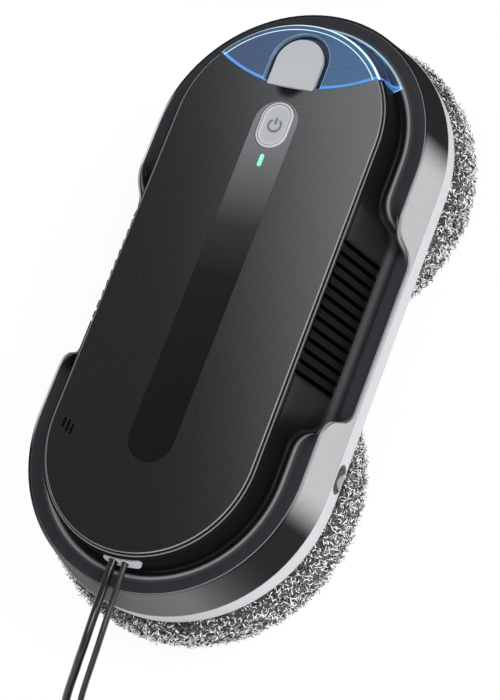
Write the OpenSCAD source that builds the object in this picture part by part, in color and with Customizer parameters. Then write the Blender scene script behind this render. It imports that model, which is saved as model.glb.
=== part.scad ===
// Window cleaning robot with two turning mops, a water tank, two spray nozzles and a suction fan.
// The origin is on the floor under the middle of the body. +Y is the tank's end (front), -Y the
// cords' end (rear), +Z is up. The robot stands on its mops.

/* [Body outline] */
// Half distance between the centres of the body's end arcs
body_half = 72.3; // [70:0.1:78]
// Radius of the body at its rim
rim_r = 66.5; // [65:0.1:70]
// How far the outer wall flares out from the rim to its foot
wall_flare = 3.8; // [2:0.1:5]
// How far the light strip stands out beyond the wall's foot
strip_step = 0.3; // [0:0.1:1]
// How far the centres of the lid's end arcs lie beyond the body's
cover_out = 3; // [1:0.1:6]
// Radius of the lid's end arcs
cover_r = 49.2; // [48:0.1:52]

/* [Heights] */
// Gap between the mop discs and the base
disc_gap = 3.2; // [2.5:0.1:4.5]
// Height of the light strip
strip_h = 10; // [9:0.1:13]
// Height of the metallic wall
band_h = 18.5; // [17:0.1:22]
// Height of the plateau over the rim
plateau_h = 15.3; // [14.5:0.1:18]

/* [Walls] */
// Thickness of the moulded shells
shell_t = 2.4; // [2:0.1:3]
// Thickness of the lid
cover_t = 2; // [1.6:0.1:2.6]
// Thickness of the base's floor plate
floor_t = 2.5; // [2:0.1:3.2]
// Thickness of the metallic wall
band_t = 1; // [0.8:0.1:1.5]
// Gap round parts that are fitted into each other
fit_gap = 0.15; // [0.1:0.01:0.3]
// Radial clearance of a shaft or hub in its bearing
run_gap = 0.05; // [0.03:0.01:0.09]
// Gap between a moving piece and a fixed one
play = 0.3; // [0.2:0.05:0.6]

/* [Plateau] */
// Width of the raised lip round the lid
lip_w = 0.9; // [0.6:0.1:1.5]
// How far the lip lies below the lid's face
lip_drop = 1.4; // [1:0.1:1.8]
// Width of the seat under the lid's edge
seat_w = 3.5; // [2:0.1:5]
// Thickness of the seat under the lid's edge
seat_t = 2.5; // [2:0.1:3.5]
// Height over which the flank's lean is measured
flank_drop = 27; // [24:0.5:32]
// How far the flank leans out over that height
flank_out = 8; // [6:0.5:9]
// Radius of the hollow at the flank's foot
foot_r = 6; // [4:0.5:7]
// How far the shoulder lies above the rim
shoulder_rise = 0.2; // [0:0.1:0.6]

/* [Finger recess] */
// Half length of the recess at its bottom
recess_half = 33; // [32:0.5:36]
// Height of the ledge's outer edge over the light strip
ledge_h = 1.4; // [1:0.1:2.5]
// Rise of the ledge from its outer edge to the hollow
ledge_rise = 1; // [0.5:0.1:2]
// Radius of the hollow between flank and ledge
ledge_r = 7; // [5:0.5:8]
// Radius of the ramp's rounded top
ramp_top_r = 11; // [5:0.5:12]
// Radius of the ramp's hollow bottom
ramp_low_r = 8; // [5:0.5:9]
// Slope of the ramp in degrees
ramp_angle = 70; // [60:1:78]
// Number of vent slots in each recess
slot_count = 13; // [9:1:13]
// Distance between the vent slots
slot_pitch = 5; // [4:0.1:5.2]
// Width of a vent slot
slot_w = 1.7; // [1.2:0.1:2.4]
// Height of the slots' lower end over the ledge's outer edge
slot_low = 3.6; // [3:0.1:8]
// Distance of the slots' upper end below the lid's face
slot_top = 2.6; // [2.4:0.1:5]

/* [Lid] */
// Distance of the power button's middle from the lid's front end
button_back = 49.5; // [47.5:0.5:52.5]
// Length of the button
button_len = 22.4; // [19:0.1:24]
// Width of the button
button_w = 15.5; // [13:0.1:16.5]
// Travel of the button
button_travel = 0.8; // [0.5:0.1:1]
// Width of the inset strip
inlay_w = 21.6; // [20:0.1:25]
// Thickness of the inset strip
inlay_t = 0.8; // [0.5:0.1:1]
// Margin of the strip beyond the button's end
inlay_margin = 0.8; // [0.5:0.1:1.5]
// Distance of the strip's far end from the lid's rear end
inlay_rear_gap = 39.5; // [35:0.5:50]
// Length of the light guide
led_len = 6; // [4:0.1:7]
// Width of the light guide
led_w = 2; // [1.5:0.1:2.5]
// Distance of the light guide behind the button's middle
led_gap = 17.4; // [16.5:0.1:19]
// Radius of the thumb scoop's rim
scoop_r = 8.5; // [7:0.1:10]
// Depth of the thumb scoop
scoop_depth = 1.4; // [0.8:0.1:1.5]

/* [Tank] */
// Length of the tank's face along the body
tank_len = 30.3; // [28:0.1:32]
// Radius of the arc between tank and lid
tank_arc_r = 76; // [70:1:90]
// Wall of the tank
tank_wall = 1.8; // [1.4:0.1:2.2]
// Depth of the tank below the shoulder
sump_depth = 15; // [10:0.5:16]
// Radius of the tank's sump
sump_r = 50; // [49.5:0.1:50.5]
// Half width of the filler plug's tab
tab_r = 11.4; // [10:0.1:12]
// Thickness of the tab
tab_t = 2.2; // [1.8:0.1:2.6]
// Distance of the tab's round end from the lid's front end
tab_inset = 6.8; // [6:0.1:9]
// Width of the channel round the tab
tab_channel = 3; // [2:0.1:3.4]
// Radius of the filler hole
filler_r = 6; // [5:0.1:7]

/* [Mops] */
// How far each mop's axis lies beyond the centre of the end arc
mop_out = 2.2; // [1.5:0.1:4]
// Radius of the mop pad
pad_r = 73.8; // [71:0.1:74]
// Radius of the hole in the pad
pad_hole_r = 30; // [26:0.5:32]
// Thickness of the pad under its disc
pad_web = 20.5; // [18:0.1:24]
// How far the pad's fringe reaches beyond the mop disc
pad_brim = 7.8; // [6:0.1:10]
// Thickness of the mop disc
disc_t = 3; // [2.5:0.1:4]
// Thickness of the hook-and-loop ring
hook_t = 1.5; // [1:0.1:2]
// Outer radius of the disc's hub
hub_r = 20; // [18:0.1:21]
// Radius of the air hole in the hub
hub_bore_r = 14; // [12:0.1:14.5]

/* [Drive] */
// Tooth module
tooth_m = 1; // [1]
// Teeth of the disc's gear
gear_teeth = 72; // [68:2:72]
// Teeth of the motor's pinion
pinion_teeth = 16; // [16:2:20]
// Width of the gears
gear_w = 4.6; // [4:0.1:5]
// Play between the teeth on the pitch circles
backlash = 0.16; // [0.12:0.01:0.3]
// Angle from the body's middle line to the motor, seen from the mop's axis
motor_angle = 49; // [46:1:52]
// Radius of the drive motor
motor_r = 12.5; // [11:0.1:13]
// Radius of the pinion's shaft
pinion_shaft_r = 2.5; // [2:0.1:3]

/* [Suction fan] */
// Half width of the air duct
duct_half_w = 18; // [17:0.1:18.5]
// Height of the air duct
duct_h = 10.5; // [9:0.1:11]
// Wall of the air duct
duct_wall = 1.8; // [1.4:0.1:2]
// Radius of the fan's housing
fan_r = 32; // [28:0.5:34]
// Height of the fan's housing
fan_h = 10; // [9:0.1:10.5]
// Number of fan blades
blade_count = 9; // [7:1:12]
// Radius of the fan motor
fan_motor_r = 14; // [12:0.1:15]
// Radius of the fan's shaft
fan_shaft_r = 1.5; // [1.2:0.1:2]

/* [Spray] */
// Length of a nozzle's opening
nozzle_len = 13; // [11:0.1:15]
// Height of a nozzle's opening
nozzle_h = 8; // [7:0.1:8.6]
// Place of the nozzle along the body, from its middle
nozzle_y = 62; // [58:0.5:66]
// Outer radius of the water hoses
hose_r = 2; // [1.6:0.1:2.2]
// Bore radius of the water hoses
hose_bore_r = 1.2; // [0.8:0.1:1.3]

/* [Power] */
// Radius of a backup cell
cell_r = 9.2; // [8.5:0.1:9.3]
// Length of a backup cell
cell_len = 65; // [60:0.5:66]

/* [Cords] */
// Diameter of the power lead
lead_d = 3.8; // [3.5:0.1:4]
// Diameter of the safety rope
rope_d = 2.8; // [2.6:0.1:3]
// Gap between neighbouring turns of a coil
coil_gap = 0.5; // [0.45:0.05:0.7]
// Turns in each layer of the lead's coil
lead_turns = 3; // [3]
// Turns in each layer of the rope's coil
rope_turns = 6; // [5:1:6]
// Width of the plate that the cords come out of
bezel_w = 18; // [17:0.5:20]
// Height of that plate
bezel_h = 5.2; // [5:0.1:5.3]
// Sideways place of that plate
bezel_x = 4.5; // [3:0.5:5]
// Radius of the plug's barrel
barrel_r = 2.75; // [2.5:0.05:3]
// Length of the plug's barrel
barrel_len = 9.5; // [9:0.1:12]

/* [Hook] */
// Radius of the hook's rod
rod_r = 2.2; // [2:0.1:2.4]
// Radius of the hook's bends, at the middle of the rod
bend_r = 8.8; // [8:0.1:10]
// Length of the hook's straight side
spine_len = 20; // [18:0.5:24]
// Radius of the hook's eye, at the middle of its rod
eye_r = 4.5; // [4:0.1:5.5]

/* [Hidden] */
$fn = 96;
// Overrun of every cut, so that no cut ends on a face
cut = 1;

// Levels, from the floor up
disc_z = pad_web + hook_t;
disc_top = disc_z + disc_t;
base_z = disc_top + disc_gap;
floor_z = base_z + floor_t;
strip_z = base_z + strip_h;
rim_z = strip_z + band_h;
shoulder_z = rim_z + shoulder_rise;
top_z = rim_z + plateau_h;
deck_z = top_z - cover_t;
seat_z = deck_z - seat_t;
lip_z = top_z - lip_drop;
roof_z = shoulder_z - shell_t;
ledge_z = strip_z + ledge_h;

// Outlines
cover_half = body_half + cover_out;
wall_r = rim_r + wall_flare;
strip_r = wall_r + strip_step;
shell_foot_r = wall_r - band_t - fit_gap;
shell_rim_r = rim_r - band_t - fit_gap;
lip_in_r = cover_r + play;
lip_r = lip_in_r + lip_w;
seat_r = lip_in_r - seat_w;
flank_tilt = atan(flank_out / flank_drop);
foot_steps = 8;

// Outer radius of the shell's wall behind the metallic band, at height z
function wall_at(z) = shell_foot_r - (z - strip_z) * wall_flare / (shoulder_z - strip_z);

// Radius of the plateau's flank at height z
function flank_at(z) = lip_r + (lip_z - z) * flank_out / flank_drop;

// Middle of the hollow of radius r between the flank and a level at z0
function hollow_x(r, z0) =
    lip_r + (r * norm([flank_out, flank_drop]) - (z0 + r - lip_z) * flank_out) / flank_drop;

// Points of that hollow, from the level up to the flank
function hollow(r, z0) = [
    for (i = [0 : foot_steps])
        let (a = 270 - (90 - flank_tilt) * i / foot_steps)
        [hollow_x(r, z0) + r * cos(a), z0 + r + r * sin(a)]
];

// The ramp at the recess's end: arcs at its bottom and top with a straight slope between them
ramp_h = top_z - ledge_z;
ramp_rise = shoulder_z - ledge_z;
ramp_line = (ramp_rise - (ramp_top_r + ramp_low_r) * (1 - cos(ramp_angle))) / sin(ramp_angle);
ramp_len = (ramp_top_r + ramp_low_r) * sin(ramp_angle) + ramp_line * cos(ramp_angle);
recess_top = recess_half + ramp_len;

function ramp_points() = concat(
    [for (i = [0 : foot_steps]) let (a = ramp_angle * i / foot_steps)
        [recess_half + ramp_low_r * sin(a), ledge_z + ramp_low_r * (1 - cos(a))]],
    [for (i = [0 : foot_steps]) let (a = ramp_angle * (1 - i / foot_steps))
        [recess_top - ramp_top_r * sin(a), shoulder_z - ramp_top_r * (1 - cos(a))]]
);

// A solid with the outline of a running track: its profile is turned round both ends and drawn
// straight between them
module racetrack(half) {
    for (turn = [0, 180])
        rotate([0, 0, turn])
            translate([0, half, 0])
                rotate_extrude(angle = 180)
                    children();
    rotate([90, 0, 0])
        linear_extrude(2 * half, center = true) {
            children();
            mirror([1, 0]) children();
        }
}

// Flat oblong with round ends along Y
module oblong(len, w) {
    half = (len - w) / 2;
    translate([0, half]) circle(w / 2);
    translate([0, -half]) circle(w / 2);
    square([w, 2 * half], center = true);
}

// Plate from height low to height high
module slab(low, high) {
    translate([0, 0, low])
        linear_extrude(high - low)
            children();
}

// Half a turn about the vertical, from a front piece to its rear twin
module at_rear() {
    rotate([0, 0, 180]) children();
}

// Places
mop_y = body_half + mop_out;
cover_end = cover_half + cover_r;
disc_r = pad_r - pad_brim;
button_y = cover_end - button_back;
tank_edge_y = cover_end - tank_len;
tank_arc_y = tank_edge_y + tank_arc_r;
tab_end_y = cover_end - tab_inset;
tab_y = tab_end_y - tab_r;
tab_front_y = tank_edge_y + play * 3;
inlay_front_y = button_y + button_len / 2 + inlay_margin;
inlay_rear_y = inlay_rear_gap - cover_end;
led_y = button_y - led_gap;

// Screws between the base and the upper shell
screw_r = 1.5;
screw_head_r = 3;
screw_head_h = 1.2;
boss_r = 3.6;
recess_screw_out = 3;
recess_screw_x = flank_at(strip_z) + recess_screw_out;
recess_screw_y = 24;
end_screw_x = 43;
end_screw_out = 42;
end_screw_y = body_half + end_screw_out;

module screw_places() {
    for (side = [-1, 1], end = [-1, 1]) {
        translate([side * recess_screw_x, end * recess_screw_y, 0]) children();
        translate([side * end_screw_x, end * end_screw_y, 0]) children();
    }
}

// Tank zone seen from above: the lid's end beyond the arc. Each edge moves out by its own amount
module tank_zone(r, arc_grow) {
    intersection() {
        translate([0, cover_half]) circle(r);
        translate([0, tank_arc_y]) circle(tank_arc_r + arc_grow);
    }
}

tank_foot_in = 2.6;
tank_foot_r = hollow_x(foot_r, shoulder_z) - tank_foot_in;
bulkhead_t = 1.7;
sump_in = 2;
sump_z = shoulder_z - sump_depth;

// Upper shell

module base_profile() {
    polygon([
        [0, strip_z],
        [shell_foot_r, strip_z],
        [shell_rim_r, shoulder_z],
        [0, shoulder_z]
    ]);
}

module plateau_profile() {
    polygon(concat(
        [[0, roof_z], [hollow_x(foot_r, shoulder_z), roof_z]],
        hollow(foot_r, shoulder_z),
        [[lip_r, lip_z], [lip_in_r, lip_z], [lip_in_r, deck_z], [0, deck_z]]
    ));
}

// Section of the body between the two recesses
module core_profile() {
    hollow_z = ledge_z + ledge_rise;
    polygon(concat(
        [[0, strip_z], [shell_foot_r, strip_z], [wall_at(ledge_z), ledge_z]],
        hollow(ledge_r, hollow_z),
        [[lip_r, lip_z], [lip_in_r, lip_z], [lip_in_r, deck_z], [0, deck_z]]
    ));
}

// Everything above the recess's ledge and ramps, seen from the side
module recess_side() {
    points = ramp_points();
    left = [for (i = [len(points) - 1 : -1 : 0]) [-points[i].x, points[i].y]];
    polygon(concat(left, points, [[recess_top, top_z + cut], [-recess_top, top_z + cut]]));
}

module recess_cut() {
    rotate([90, 0, 90])
        linear_extrude(2 * (strip_r + cut), center = true)
            recess_side();
}

module recess_core() {
    rotate([90, 0, 0])
        linear_extrude(2 * recess_top + cut, center = true) {
            core_profile();
            mirror([1, 0]) core_profile();
        }
}

// Inside of the plateau from height low up, open above the lid's seat
module plateau_inside(low) {
    polygon([
        [0, low],
        [flank_at(low) - shell_t, low],
        [flank_at(seat_z) - shell_t, seat_z],
        [seat_r, seat_z],
        [seat_r, top_z + cut],
        [0, top_z + cut]
    ]);
}

module shell_inside() {
    low = strip_z - cut;
    slab_half = recess_top + shell_t;
    difference() {
        racetrack(body_half)
            polygon([
                [0, low],
                [wall_at(low) - shell_t, low],
                [wall_at(roof_z) - shell_t, roof_z],
                [0, roof_z]
            ]);
        translate([-strip_r, -slab_half, low - cut])
            cube([2 * strip_r, 2 * slab_half, band_h + 2 * cut]);
    }
    difference() {
        racetrack(cover_half) plateau_inside(roof_z - cut);
        slab(roof_z, top_z + 2 * cut) tank_zone(lip_r + foot_r, play + bulkhead_t);
    }
    rotate([90, 0, 0])
        linear_extrude(2 * slab_half + cut, center = true) {
            plateau_inside(low);
            mirror([1, 0]) plateau_inside(low);
        }
}

module vent_slots() {
    low = ledge_z + slot_low;
    high = top_z - slot_top;
    for (i = [0 : slot_count - 1])
        translate([0, (i - (slot_count - 1) / 2) * slot_pitch, (low + high) / 2])
            rotate([90, 0, 90])
                linear_extrude(2 * hollow_x(ledge_r, ledge_z), center = true)
                    oblong(high - low, slot_w);
}

// The cords leave through an oblong opening in the rear flank
bezel_drop = 0.2;
cord_z = seat_z - bezel_h / 2 - bezel_drop;

module bezel_prism(grow) {
    translate([bezel_x, -cover_end, cord_z])
        rotate([90, 90, 0])
            linear_extrude(4 * shell_t, center = true)
                oblong(bezel_w + 2 * grow, bezel_h + 2 * grow);
}

module upper_shell() {
    color("#1b1c1e")
    difference() {
        union() {
            difference() {
                union() {
                    difference() {
                        union() {
                            racetrack(body_half) base_profile();
                            racetrack(cover_half) plateau_profile();
                        }
                        recess_cut();
                    }
                    recess_core();
                }
                shell_inside();
            }
            screw_bosses();
        }
        slab(shoulder_z, top_z + cut) tank_zone(tank_foot_r + play, play);
        slab(roof_z - cut, top_z + cut) tank_zone(sump_r + play, play - sump_in);
        vent_slots();
        bezel_prism(fit_gap);
        screw_places() pilot_hole();
    }
}

// Bosses stand on the base's floor and end in the shell above them
module screw_bosses() {
    for (side = [-1, 1], end = [-1, 1]) {
        translate([side * recess_screw_x, end * recess_screw_y, floor_z])
            cylinder(r = boss_r, h = strip_z - floor_z + ledge_h / 2);
        translate([side * end_screw_x, end * end_screw_y, floor_z])
            cylinder(r = boss_r, h = roof_z - floor_z + shell_t / 2);
    }
}

module pilot_hole() {
    translate([0, 0, floor_z - cut])
        cylinder(r = screw_r + run_gap, h = strip_h - floor_t + cut);
}

// Lid

module cover_profile() {
    bevel = 0.4;
    polygon([[0, deck_z], [cover_r, deck_z], [cover_r, top_z - bevel], [cover_r - bevel, top_z], [0, top_z]]);
}

module inlay_outline(grow) {
    translate([0, (inlay_front_y + inlay_rear_y) / 2])
        oblong(inlay_front_y - inlay_rear_y + 2 * grow, inlay_w + 2 * grow);
}

module button_outline(grow) {
    translate([0, button_y])
        oblong(button_len + 2 * grow, button_w + 2 * grow);
}

module led_outline(grow) {
    translate([0, led_y])
        oblong(led_len + 2 * grow, led_w + 2 * grow);
}

// Boards hang from bosses under the lid
board_t = 1.6;
main_board_drop = 8;
main_board_z = deck_z - main_board_drop;
main_boss_x = 32;
main_boss_in = 32.5;
main_boss_pitch = 48;
main_boss_rear = cover_end - main_boss_in;
main_boss_front = main_boss_rear - main_boss_pitch;
button_board_drop = 6;
button_board_z = deck_z - button_board_drop;
button_boss_x = 8.5;
button_boss_front = 15;
button_boss_rear = 24;
board_boss_r = 2.2;

module main_boss_places() {
    for (side = [-1, 1], along = [main_boss_front, main_boss_rear])
        translate([side * main_boss_x, -along, main_board_z + board_t]) children();
}

module button_boss_places() {
    for (side = [-1, 1], along = [button_boss_front, -button_boss_rear])
        translate([side * button_boss_x, button_y + along, button_board_z + board_t]) children();
}

// Speaker slots in the lid, each a little longer than the last
speaker_r = 5;
speaker_h = 4.6;
speaker_x = -40.6;
speaker_in = 45.5;
speaker_y = speaker_in - cover_end;
speaker_slot_pitch = 2.4;
speaker_slot_w = 1.2;
speaker_slot_len = 6;
speaker_slot_lean = 1;

module speaker_slots() {
    for (i = [-1 : 1])
        translate([speaker_x + i * speaker_slot_pitch, speaker_y - i * speaker_slot_lean, top_z])
            linear_extrude(3 * cover_t, center = true)
                oblong(speaker_slot_len - abs(i) * speaker_slot_w, speaker_slot_w);
}

module top_cover() {
    ball_r = (scoop_r * scoop_r + scoop_depth * scoop_depth) / (2 * scoop_depth);
    color("#2b2c2e")
    difference() {
        union() {
            racetrack(cover_half) cover_profile();
            main_boss_places() cylinder(r = board_boss_r, h = deck_z - main_board_z - board_t);
            button_boss_places() cylinder(r = board_boss_r, h = deck_z - button_board_z - board_t);
        }
        slab(deck_z - cut, top_z + cut)
            translate([0, tank_arc_y]) circle(tank_arc_r + play);
        slab(top_z - inlay_t, top_z + cut) inlay_outline(0);
        slab(deck_z - cut, top_z + cut) button_outline(play);
        slab(deck_z - cut, top_z + cut) led_outline(fit_gap);
        translate([0, tab_front_y + 2 * play, top_z - scoop_depth + ball_r]) sphere(ball_r);
        speaker_slots();
    }
}

module inlay_strip() {
    color("#77797c")
    slab(top_z - inlay_t, top_z)
        difference() {
            inlay_outline(-fit_gap);
            button_outline(play);
            led_outline(fit_gap);
        }
}

flange_w = 1.6;
flange_t = 0.7;
flange_z = deck_z - play - flange_t;
button_proud = 0.3;
dish_depth = 0.7;

module power_button() {
    dish_r = button_w / 2;
    ball_r = (dish_r * dish_r + dish_depth * dish_depth) / (2 * dish_depth);
    color("#b9bbbe") {
        difference() {
            slab(flange_z, top_z + button_proud) button_outline(0);
            translate([0, button_y, top_z + button_proud - dish_depth + ball_r]) sphere(ball_r);
        }
        slab(flange_z, flange_z + flange_t) button_outline(flange_w);
    }
}

switch_side = 6;
switch_h = 2;
plunger_r = 1.75;
chip_h = 1.2;
led_flange = 0.8;

module led_lens() {
    color("#8ff0bd") {
        slab(button_board_z + board_t + chip_h + play, top_z + fit_gap) led_outline(0);
        slab(deck_z - led_flange, deck_z) led_outline(led_flange);
    }
}

module button_board() {
    low = button_y - button_boss_rear - board_boss_r;
    high = button_y + button_boss_front + board_boss_r;
    half = button_boss_x + board_boss_r;
    plunger_z = flange_z - button_travel - fit_gap;
    color("#1e5c3a") {
        translate([-half, low, button_board_z]) cube([2 * half, high - low, board_t]);
        translate([-switch_side / 2, button_y - switch_side / 2, button_board_z])
            cube([switch_side, switch_side, board_t + switch_h]);
        translate([0, button_y, button_board_z]) cylinder(r = plunger_r, h = plunger_z - button_board_z);
        slab(button_board_z, button_board_z + board_t + chip_h) led_outline(-fit_gap);
    }
}

// Electronics on the main board: [x, y, width, depth, height] as shares of the board's size
chip_shares = [
    [0.30, 0.62, 0.20, 0.20, 0.30],
    [-0.30, 0.30, 0.26, 0.12, 0.70],
    [0.00, 0.78, 0.34, 0.10, 0.85],
    [0.34, 0.24, 0.14, 0.26, 0.45],
    [-0.22, 0.66, 0.12, 0.16, 0.35]
];
capacitor_shares = [[0.05, 0.28], [0.05, 0.42], [-0.06, 0.50]];
capacitor_r = 2.6;

module main_board() {
    w = 2 * (main_boss_x + board_boss_r + shell_t);
    d = main_boss_rear - main_boss_front + 2 * (board_boss_r + shell_t);
    h = deck_z - main_board_z - board_t - play;
    y0 = -main_boss_rear - board_boss_r - shell_t;
    color("#1e5c3a") {
        translate([-w / 2, y0, main_board_z]) cube([w, d, board_t]);
        for (c = chip_shares)
            translate([(c[0] - c[2] / 2) * w, y0 + (c[1] - c[3] / 2) * d, main_board_z])
                cube([c[2] * w, c[3] * d, board_t + c[4] * h]);
        for (c = capacitor_shares)
            translate([c[0] * w, y0 + c[1] * d, main_board_z])
                cylinder(r = capacitor_r, h = board_t + h);
    }
}

module speaker() {
    color("#303234")
    translate([speaker_x, speaker_y, deck_z - speaker_h])
        cylinder(r = speaker_r, h = speaker_h);
}

// Metallic wall

module silver_band() {
    color("#8f9296")
    difference() {
        racetrack(body_half)
            polygon([
                [wall_r - band_t, strip_z],
                [wall_r, strip_z],
                [rim_r, rim_z],
                [rim_r - band_t, rim_z]
            ]);
        recess_cut();
    }
}

// Base

bearing_w = 4;
bearing_h = 3.4;
bearing_lip = 1;
bearing_lip_w = 2.4;
bearing_r = hub_r + run_gap + bearing_w;
nozzle_rise = 0.2;
nozzle_z = base_z + strip_h / 2 + nozzle_rise;

module nozzle_places() {
    translate([strip_r, -nozzle_y, nozzle_z]) children();
    at_rear() translate([strip_r, -nozzle_y, nozzle_z]) children();
}

module base_shell() {
    bevel = 0.8;
    color("#d5d7d9")
    difference() {
        union() {
            difference() {
                racetrack(body_half)
                    polygon([[0, base_z], [strip_r - bevel, base_z], [strip_r, base_z + bevel],
                        [strip_r, strip_z], [0, strip_z]]);
                racetrack(body_half)
                    polygon([[0, floor_z], [strip_r - shell_t, floor_z],
                        [strip_r - shell_t, strip_z + cut], [0, strip_z + cut]]);
            }
            for (side = [-1, 1])
                translate([0, side * mop_y, base_z])
                    cylinder(r = bearing_r + shell_t, h = bearing_lip + bearing_h);
        }
        for (side = [-1, 1])
            translate([0, side * mop_y, base_z]) {
                translate([0, 0, bearing_lip]) cylinder(r = bearing_r, h = strip_h);
                translate([0, 0, -cut]) cylinder(r = bearing_r - bearing_lip_w, h = strip_h);
            }
        nozzle_places() nozzle_prism(fit_gap, strip_r / 4);
        screw_places() {
            translate([0, 0, base_z - cut]) cylinder(r = screw_r + run_gap, h = strip_h);
            translate([0, 0, base_z - cut]) cylinder(r = screw_head_r + fit_gap, h = screw_head_h + cut);
        }
    }
}

module base_screws() {
    color("#6d7073")
    screw_places() {
        translate([0, 0, base_z]) cylinder(r = screw_head_r, h = screw_head_h);
        translate([0, 0, base_z]) cylinder(r = screw_r, h = strip_h - cut);
    }
}

module hub_bearing_front() {
    color("#c9b56b")
    translate([0, mop_y, base_z + bearing_lip])
        difference() {
            cylinder(r = bearing_r - run_gap, h = bearing_h);
            translate([0, 0, -cut]) cylinder(r = hub_r + run_gap, h = bearing_h + 2 * cut);
        }
}

module hub_bearing_rear() {
    at_rear() hub_bearing_front();
}

// Mops, discs and gears

module mop_pad_front() {
    brim = pad_r - disc_r;
    low_r = pad_r - 1.6 * brim;
    wide_z = 0.3 * disc_top;
    lip_top_r = disc_r + 0.4 * brim;
    color("#8d9093")
    translate([0, mop_y, 0])
        rotate_extrude()
            polygon(concat(
                [[pad_hole_r, 0]],
                [for (i = [0 : foot_steps]) let (a = 90 * i / foot_steps)
                    [low_r + (pad_r - low_r) * sin(a), wide_z * (1 - cos(a))]],
                [for (i = [1 : foot_steps]) let (a = 90 * i / foot_steps)
                    [lip_top_r + (pad_r - lip_top_r) * cos(a), wide_z + (disc_top - wide_z) * sin(a)]],
                [[disc_r + play, disc_top], [disc_r + play, pad_web], [pad_hole_r, pad_web]]
            ));
}

module mop_pad_rear() {
    at_rear() mop_pad_front();
}

module hook_ring_front() {
    color("#3a3c3e")
    translate([0, mop_y, pad_web])
        difference() {
            cylinder(r = disc_r - 2 * hook_t, h = hook_t);
            translate([0, 0, -cut]) cylinder(r = pad_hole_r + 2 * hook_t, h = hook_t + 2 * cut);
        }
}

module hook_ring_rear() {
    at_rear() hook_ring_front();
}

gear_lift = 0.8;
hub_rise = 0.4;
gear_z = base_z + bearing_lip + bearing_h + gear_lift;
hub_top = gear_z + gear_w + hub_rise;

module cleaning_disc_front() {
    color("#5b5e61")
    translate([0, mop_y, 0])
        difference() {
            union() {
                translate([0, 0, disc_z]) cylinder(r = disc_r, h = disc_t);
                translate([0, 0, disc_z]) cylinder(r = hub_r, h = hub_top - disc_z);
            }
            translate([0, 0, disc_z - cut]) cylinder(r = hub_bore_r, h = hub_top - disc_z + 2 * cut);
        }
}

module cleaning_disc_rear() {
    at_rear() cleaning_disc_front();
}

// Involute teeth. Angles are in degrees
pressure = 20;
function inv(a) = tan(a) * 180 / PI - a;

// Half the angle that a tooth takes up at radius r, on a gear of n teeth
function tooth_half(n, r) =
    let (base_r = n * tooth_m * cos(pressure) / 2, at = max(r, base_r))
    (90 - backlash / tooth_m * 90 / PI) / n + inv(pressure) - inv(acos(min(1, base_r / at)));

addendum_share = 0.92;
dedendum_share = 1.25;
gear_tip_r = (gear_teeth / 2 + addendum_share) * tooth_m;
flank_steps = 4;

function gear_points(n) =
    let (pitch_r = n * tooth_m / 2,
         root_r = pitch_r - dedendum_share * tooth_m,
         tip_r = pitch_r + addendum_share * tooth_m)
    [for (i = [0 : n - 1], side = [-1, 1], k = [0 : flank_steps])
        let (share = side < 0 ? k / flank_steps : 1 - k / flank_steps,
             r = root_r + (tip_r - root_r) * share,
             a = 360 * i / n + side * tooth_half(n, r))
        [r * cos(a), r * sin(a)]];

centre_distance = (gear_teeth + pinion_teeth) * tooth_m / 2;
motor_x = centre_distance * sin(motor_angle);
motor_y = mop_y - centre_distance * cos(motor_angle);
// Direction from the mop's axis to the motor's
mesh_angle = motor_angle - 90;

module disc_gear_front() {
    color("#e3e1da")
    translate([0, mop_y, gear_z])
        difference() {
            rotate([0, 0, mesh_angle])
                linear_extrude(gear_w) polygon(gear_points(gear_teeth));
            translate([0, 0, -cut]) cylinder(r = hub_r + run_gap / 2, h = gear_w + 2 * cut);
        }
}

module disc_gear_rear() {
    at_rear() disc_gear_front();
}

// The pinion stands with a gap between its teeth on the line to the mop's axis
module pinion_front() {
    shaft_len = 11;
    color("#b7b9bb")
    translate([motor_x, motor_y, gear_z]) {
        rotate([0, 0, mesh_angle + 180 + 180 / pinion_teeth])
            linear_extrude(gear_w) polygon(gear_points(pinion_teeth));
        cylinder(r = pinion_shaft_r, h = gear_w + shaft_len);
    }
}

module pinion_rear() {
    at_rear() pinion_front();
}

// Gear motor: a can on a flange whose three legs stand on the base
motor_gap = 1;
motor_z = gear_z + gear_w + motor_gap;
motor_flange_t = 2.4;
motor_h = 21;
leg_r = 2.8;
leg_out = 13;
leg_side = 11;

module drive_motor_front() {
    bore_h = 12;
    color("#55585b")
    translate([motor_x, motor_y, 0])
        difference() {
            union() {
                translate([0, 0, motor_z]) cylinder(r = motor_r, h = motor_h);
                rotate([0, 0, mesh_angle]) {
                    for (side = [-1, 1])
                        translate([leg_out, side * leg_side, floor_z])
                            cylinder(r = leg_r, h = motor_z + motor_flange_t - floor_z);
                    translate([leg_out - 2 * leg_r, -leg_side, motor_z + play])
                        cube([2 * leg_r, 2 * leg_side, motor_flange_t]);
                }
            }
            translate([0, 0, motor_z - cut]) cylinder(r = pinion_shaft_r + run_gap, h = bore_h + cut);
        }
}

module drive_motor_rear() {
    at_rear() drive_motor_front();
}

// Suction

duct_gap = 1.1;
duct_z = hub_top + duct_gap;
duct_top = duct_z + duct_h;
duct_leg = 4;
duct_leg_y = 26;
duct_leg_h = duct_z + duct_wall - floor_z;

module duct_outline(grow) {
    oblong(2 * (mop_y + duct_half_w) + 2 * grow, 2 * duct_half_w + 2 * grow);
}

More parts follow.
